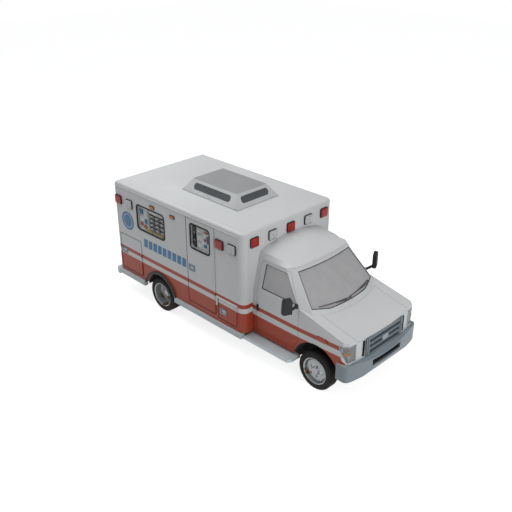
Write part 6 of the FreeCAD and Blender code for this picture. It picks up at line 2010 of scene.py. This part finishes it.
# ---------------------------------------------------------------- engine bay and underbody
@dataclass
class EngineBay:
    """What shows under the open hood: covers, air cleaner, fan, hoses, battery and coolant tank."""

    top: float = 1.040
    fan_height: float = 0.860
    fan_radius: float = 0.205
    blades: int = 8

    def engine(self) -> None:
        """Dresses the engine's top with two ribbed covers, an air cleaner and its duct."""
        covers, block_top = Shape("rocker_covers", MILL_ALLOY), Face(Axis.Z, self.top)
        for y in (-0.170, 0.170):
            covers.tile((FRONT_AXLE + 0.160, y), (0.560, 0.150), 0.040, block_top, -0.002, 0.045, 0.018)
            for i in range(5):
                covers.tile((FRONT_AXLE + 0.160, y - 0.040 + 0.020 * i), (0.440, 0.008), 0.003, block_top, 0.040,
                            0.050, 0.002)
            covers.use(BLACK_ABS).disc((FRONT_AXLE + 0.380, y, self.top + 0.040), Axis.Z, 0.026, 0.0, 0.028, 20,
                                       0.004)
            covers.use(MILL_ALLOY)
        covers.place("cast_iron")
        cleaner = Shape("air_cleaner", BLACK_ABS)
        spot = (FRONT_AXLE + 0.110, 0.0, self.top)
        cleaner.disc(spot, Axis.Z, 0.078, -0.002, 0.030, 32)
        cleaner.disc(spot, Axis.Z, 0.170, 0.028, 0.098, 48, 0.012)
        cleaner.disc(spot, Axis.Z, 0.176, 0.088, 0.096, 48, 0.002)
        cleaner.use(ZINC).disc(spot, Axis.Z, 0.012, 0.096, 0.116, 6, 0.003)
        cleaner.use(BLACK_ABS).tube(self.curve([(0.240, 0.080, 1.105), (0.400, 0.220, 1.110), (0.520, 0.300, 1.090),
                                                (0.582, 0.310, 1.040)]), 0.036, 16)
        cleaner.place("black_plastic")

    def curve(self, points: Sequence[Point], steps: int = 6) -> list[Vector]:
        """Gives a smooth path through points that are set from the front axle.

        Args:
            points: the points that it passes through.
            steps: how many points are made between two of them.

        Returns:
            The path in the frame.
        """
        ends = [points[0], *points, points[-1]]
        path = []
        for i in range(len(points) - 1):
            p0, p1, p2, p3 = (Vector(p) for p in ends[i:i + 4])
            for k in range(steps):
                t = k / steps
                path.append(0.5 * (2 * p1 + (p2 - p0) * t + (2 * p0 - 5 * p1 + 4 * p2 - p3) * t * t
                                   + (3 * p1 - p0 - 3 * p2 + p3) * t ** 3))
        path.append(Vector(points[-1]))
        return [p + Vector((FRONT_AXLE, 0.0, 0.0)) for p in path]

    def cooling(self) -> None:
        """Builds the shroud, the fan and the two radiator hoses."""
        shroud = Shape("fan_shroud", BLACK_ABS)
        outer = rounded_outline((0.0, self.fan_height), (0.900, 0.440), 0.050, 8)
        inner = rounded_outline((0.0, self.fan_height), (0.434, 0.434), 0.2169, 8)
        shroud.ring(outer, inner, AHEAD, 0.545, 0.579)
        shroud.place("black_plastic")
        fan = Shape("cooling_fan", BLACK_ABS)
        hub = (FRONT_AXLE, 0.0, self.fan_height)
        fan.disc(hub, Axis.X, 0.066, 0.468, 0.536, 28, 0.006)
        fan.use(MILL_ALLOY).disc(hub, Axis.X, 0.030, 0.534, 0.541, 16, 0.002)
        for i in range(self.blades):
            turn = math.tau * i / self.blades
            out, across = Vector((0.0, math.cos(turn), math.sin(turn))), Vector((0.0, -math.sin(turn),
                                                                                 math.cos(turn)))
            loops = [[Vector(hub) + out * r + across * a + Vector((x, 0.0, 0.0))
                      for a, x in ((-half, 0.494), (half, 0.526), (half, 0.530), (-half, 0.498))]
                     for r, half in ((0.060, 0.026), (self.fan_radius, 0.044))]
            fan.use(BLACK_ABS).loft(loops)
        fan.place("black_plastic")
        hoses = Shape("radiator_hoses", SEAL_RUBBER)
        for path in (((0.300, -0.060, 1.062), (0.420, -0.140, 1.105), (0.520, -0.260, 1.090), (0.590, -0.300, 1.050)),
                     ((0.430, 0.200, 0.640), (0.500, 0.300, 0.640), (0.560, 0.380, 0.700), (0.590, 0.400, 0.720))):
            hoses.use(SEAL_RUBBER).tube(self.curve(path), 0.024, 14)
            end = Vector(path[-2]) + Vector((FRONT_AXLE, 0.0, 0.0))
            hoses.use(ZINC).disc(tuple(end), Axis.X, 0.027, -0.006, 0.006, 20, 0.001)
        hoses.place("black_plastic")

    def stores(self) -> None:
        """Stands the battery on the right rail and the coolant tank on the left one."""
        battery = Shape("starter_battery", BLACK_ABS)
        battery.tile((FRONT_AXLE + 0.370, -0.470), (0.270, 0.180), 0.012, UPWARD, 0.679, 0.872, 0.006)
        battery.use(GREY_ABS).tile((FRONT_AXLE + 0.370, -0.470), (0.250, 0.060), 0.008, UPWARD, 0.870, 0.884, 0.004)
        for x, finish in ((0.270, RED_TRIM), (0.470, BLACK_ABS)):
            battery.use(ZINC).disc((FRONT_AXLE + x, -0.525, 0.870), Axis.Z, 0.010, 0.0, 0.022, 16, 0.002)
            battery.use(finish).tile((FRONT_AXLE + x, -0.525), (0.040, 0.036), 0.010, UPWARD, 0.876, 0.898, 0.005)
        battery.place("black_plastic")
        tank = Shape("coolant_tank", LAMINATE)
        tank.tile((FRONT_AXLE + 0.300, 0.470), (0.240, 0.150), 0.030, UPWARD, 0.679, 0.880, 0.022)
        tank.use(BLACK_ABS).disc((FRONT_AXLE + 0.340, 0.470, 0.876), Axis.Z, 0.034, 0.0, 0.030, 24, 0.005)
        tank.place("cabinet_laminate")

    def build(self) -> None:
        """Builds the bay's pieces."""
        self.engine()
        self.cooling()
        self.stores()


@dataclass
class Underbody:
    """Shaft joints, dampers, tank straps and the fuel filler."""

    joint_radius: float = 0.060
    axle_height: float = 0.372

    def driveline(self) -> None:
        """Puts the joints and centre bearing on the propeller shaft, and hangs the dampers and tank straps."""
        shaft = Shape("propeller_shaft_joints", CAST_IRON)
        start, end = Vector((FRONT_AXLE - 0.903, 0.0, 0.560)), Vector((REAR_AXLE + 0.100, 0.0, 0.372))
        reach = (end - start).normalized() * 0.018
        for share in (0.010, 0.034, 0.485, 0.515, 0.950, 0.974):
            at = start.lerp(end, share)
            shaft.tube([at - reach, at + reach], self.joint_radius, 16)
        shaft.place("cast_iron")
        dampers = Shape("suspension_dampers", CHASSIS_BLACK)
        for way in (-1, 1):
            for x, foot, head in ((FRONT_AXLE - 0.070, 0.600, 0.470), (REAR_AXLE - 0.078, 0.325, 0.300)):
                low, high = Vector((x, way * foot, self.axle_height)), Vector((x - 0.050, way * head, 0.640))
                dampers.use(CHASSIS_BLACK).tube([low, low.lerp(high, 0.55)], 0.028, 16)
                dampers.use(BRIGHT_STEEL).tube([low.lerp(high, 0.53), high], 0.012, 12)
                dampers.use(SEAL_RUBBER).tube([low.lerp(high, 0.52), low.lerp(high, 0.57)], 0.031, 16)
                for at in (low, high):
                    dampers.use(SEAL_RUBBER).disc(tuple(at), Axis.X, 0.026, -0.024, 0.024, 16, 0.003)
        dampers.place("cast_iron")
        straps = Shape("fuel_tank_straps", ZINC)
        for y in (-0.220, 0.220):
            outer = rounded_outline((-2.679, 0.470), (0.347, 0.187), 0.010, 3)
            straps.ring(outer, scaled_outline(outer, 0.004), Face(Axis.Y, y), -0.020, 0.020)
        straps.place("metal_trim")

    def filler(self) -> None:
        """Sets the fuel filler's dished plate and cap in the left wall ahead of the rear wheel."""
        plate = Shape("fuel_filler", MILL_ALLOY)
        x, z, panel = REAR_AXLE + 0.830, 1.200, Side.LEFT.wall(BOX_SIDE)
        outline = rounded_outline((x, z), (0.200, 0.200), 0.034)
        plate.ring(outline, scaled_outline(outline, 0.026), panel, 0.0, 0.006)
        plate.prism(scaled_outline(outline, 0.022), panel, -0.001, 0.002)
        plate.use(BLACK_ABS).disc((x, panel.at, z), Axis.Y, 0.048, 0.001, 0.024, 32, 0.006)
        plate.tile((x, z), (0.078, 0.018), 0.008, panel, 0.022, 0.034, 0.004)
        plate.place("metal_trim")

    def build(self) -> None:
        """Builds the underbody's pieces."""
        self.driveline()
        self.filler()


# ---------------------------------------------------------------- floor, light and camera
@dataclass
class Studio:
    """A plain pale floor and soft light from above, with the camera ahead of the right front corner."""

    eye: Point = (8.840, -8.973, 7.793)
    aim: Point = (-0.6298, 0.6330, -0.4503)
    lens: float = 50.0
    floor_half: float = 40.0
    floor_colour: str = "BFC0C1"
    glow: float = 0.80
    sky: float = 0.36
    lamp_size: float = 8.0
    key_at: Point = (-3.9, -1.5, 10.7)
    key_watts: float = 680.0
    fill_at: Point = (12.0, -2.5, 5.0)
    fill_watts: float = 610.0

    def backdrop(self) -> bpy.types.Material:
        """Gives a floor that shows white to the eye and pale grey to the light, with its shadow kept.

        Returns:
            The floor's material.
        """
        made = bpy.data.materials.new("studio_floor_matt")
        tree = empty_tree(made)
        seen = add_node(tree, "LightPath").outputs
        eyes = add_node(tree, "Math", {0: seen["Is Camera Ray"], 1: seen["Is Glossy Ray"]}, operation="MAXIMUM")
        eyes = add_node(tree, "Math", {0: eyes.outputs[0], 1: seen["Is Transmission Ray"]}, operation="MAXIMUM")
        matt = add_node(tree, "BsdfDiffuse", {"Color": linear(self.floor_colour)})
        glow = add_node(tree, "Emission", {"Color": (1.0, 1.0, 1.0, 1.0), "Strength": self.glow})
        lit = add_node(tree, "AddShader", {0: matt.outputs[0], 1: glow.outputs[0]})
        both = add_node(tree, "MixShader", {0: eyes.outputs[0], 1: matt.outputs[0], 2: lit.outputs[0]})
        add_node(tree, "OutputMaterial", {"Surface": both.outputs[0]})
        return made

    def floor(self) -> None:
        """Lays the floor at the ground."""
        half = self.floor_half
        data = bpy.data.meshes.new("studio_floor")
        data.from_pydata([(-half, -half, 0.0), (half, -half, 0.0), (half, half, 0.0), (-half, half, 0.0)], [],
                         [(0, 1, 2, 3)])
        data.materials.append(self.backdrop())
        add_object("studio_floor", data)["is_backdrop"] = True

    def lamp(self, name: str, at: Point, towards: Point, watts: float) -> None:
        """Hangs one square soft lamp.

        Args:
            name: its name.
            at: where it hangs.
            towards: the point that it faces.
            watts: its power.
        """
        data = bpy.data.lights.new(name, "AREA")
        data.shape, data.size, data.energy = "SQUARE", self.lamp_size, watts
        made = add_object(name, data)
        made.location = at
        made.rotation_mode = "QUATERNION"
        made.rotation_quaternion = (Vector(towards) - Vector(at)).to_track_quat("-Z", "Y")

    def light(self) -> None:
        """Sets the even sky and the lamps."""
        world = bpy.data.worlds.new("studio_sky")
        bpy.context.scene.world = world
        tree = empty_tree(world)
        seen = add_node(tree, "LightPath").outputs
        eyes = add_node(tree, "Math", {0: seen["Is Camera Ray"], 1: seen["Is Transmission Ray"]}, operation="MAXIMUM")
        plain = add_node(tree, "Background", {"Color": (1.0, 1.0, 1.0, 1.0), "Strength": self.sky})
        white = add_node(tree, "Background", {"Color": (1.0, 1.0, 1.0, 1.0), "Strength": 1.0})
        both = add_node(tree, "MixShader", {0: eyes.outputs[0], 1: plain.outputs[0], 2: white.outputs[0]})
        add_node(tree, "OutputWorld", {"Surface": both.outputs[0]})
        self.lamp("key", self.key_at, (-1.5, 0.0, 1.0), self.key_watts)
        self.lamp("fill", self.fill_at, (0.0, 0.0, 1.0), self.fill_watts)

    def camera(self) -> None:
        """Sets the camera at the viewing angle."""
        data = bpy.data.cameras.new("camera")
        data.lens, data.sensor_width = self.lens, 36.0
        data.clip_end = 200.0
        made = add_object("camera", data)
        made.location = self.eye
        made.rotation_mode = "QUATERNION"
        made.rotation_quaternion = Vector(self.aim).to_track_quat("-Z", "Y")
        bpy.context.scene.camera = made

    def build(self) -> None:
        """Builds the whole studio."""
        bpy.context.scene.view_settings.view_transform = "Standard"
        self.floor()
        self.light()
        self.camera()


def main() -> None:
    """Builds every sub-assembly in order and reports its pieces."""
    logging.basicConfig(level=logging.INFO, format="%(name)s: %(message)s")
    makers = [CarriedParts(), Wheels(), Lamps(), CabOutside(), BoxOutside(), RoofUnit(), Arches(), StepTreads(),
              Seats(), Interior(), EngineBay(), Underbody()]
    for maker in makers:
        before = {made.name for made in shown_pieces()}
        maker.build()
        names = [made.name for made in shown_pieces() if made.name not in before]
        log.info("%s: %s", type(maker).__name__, ", ".join(names) or "finishes on the frame's own pieces")
    Studio().build()


if __name__ == "__main__":
    main()
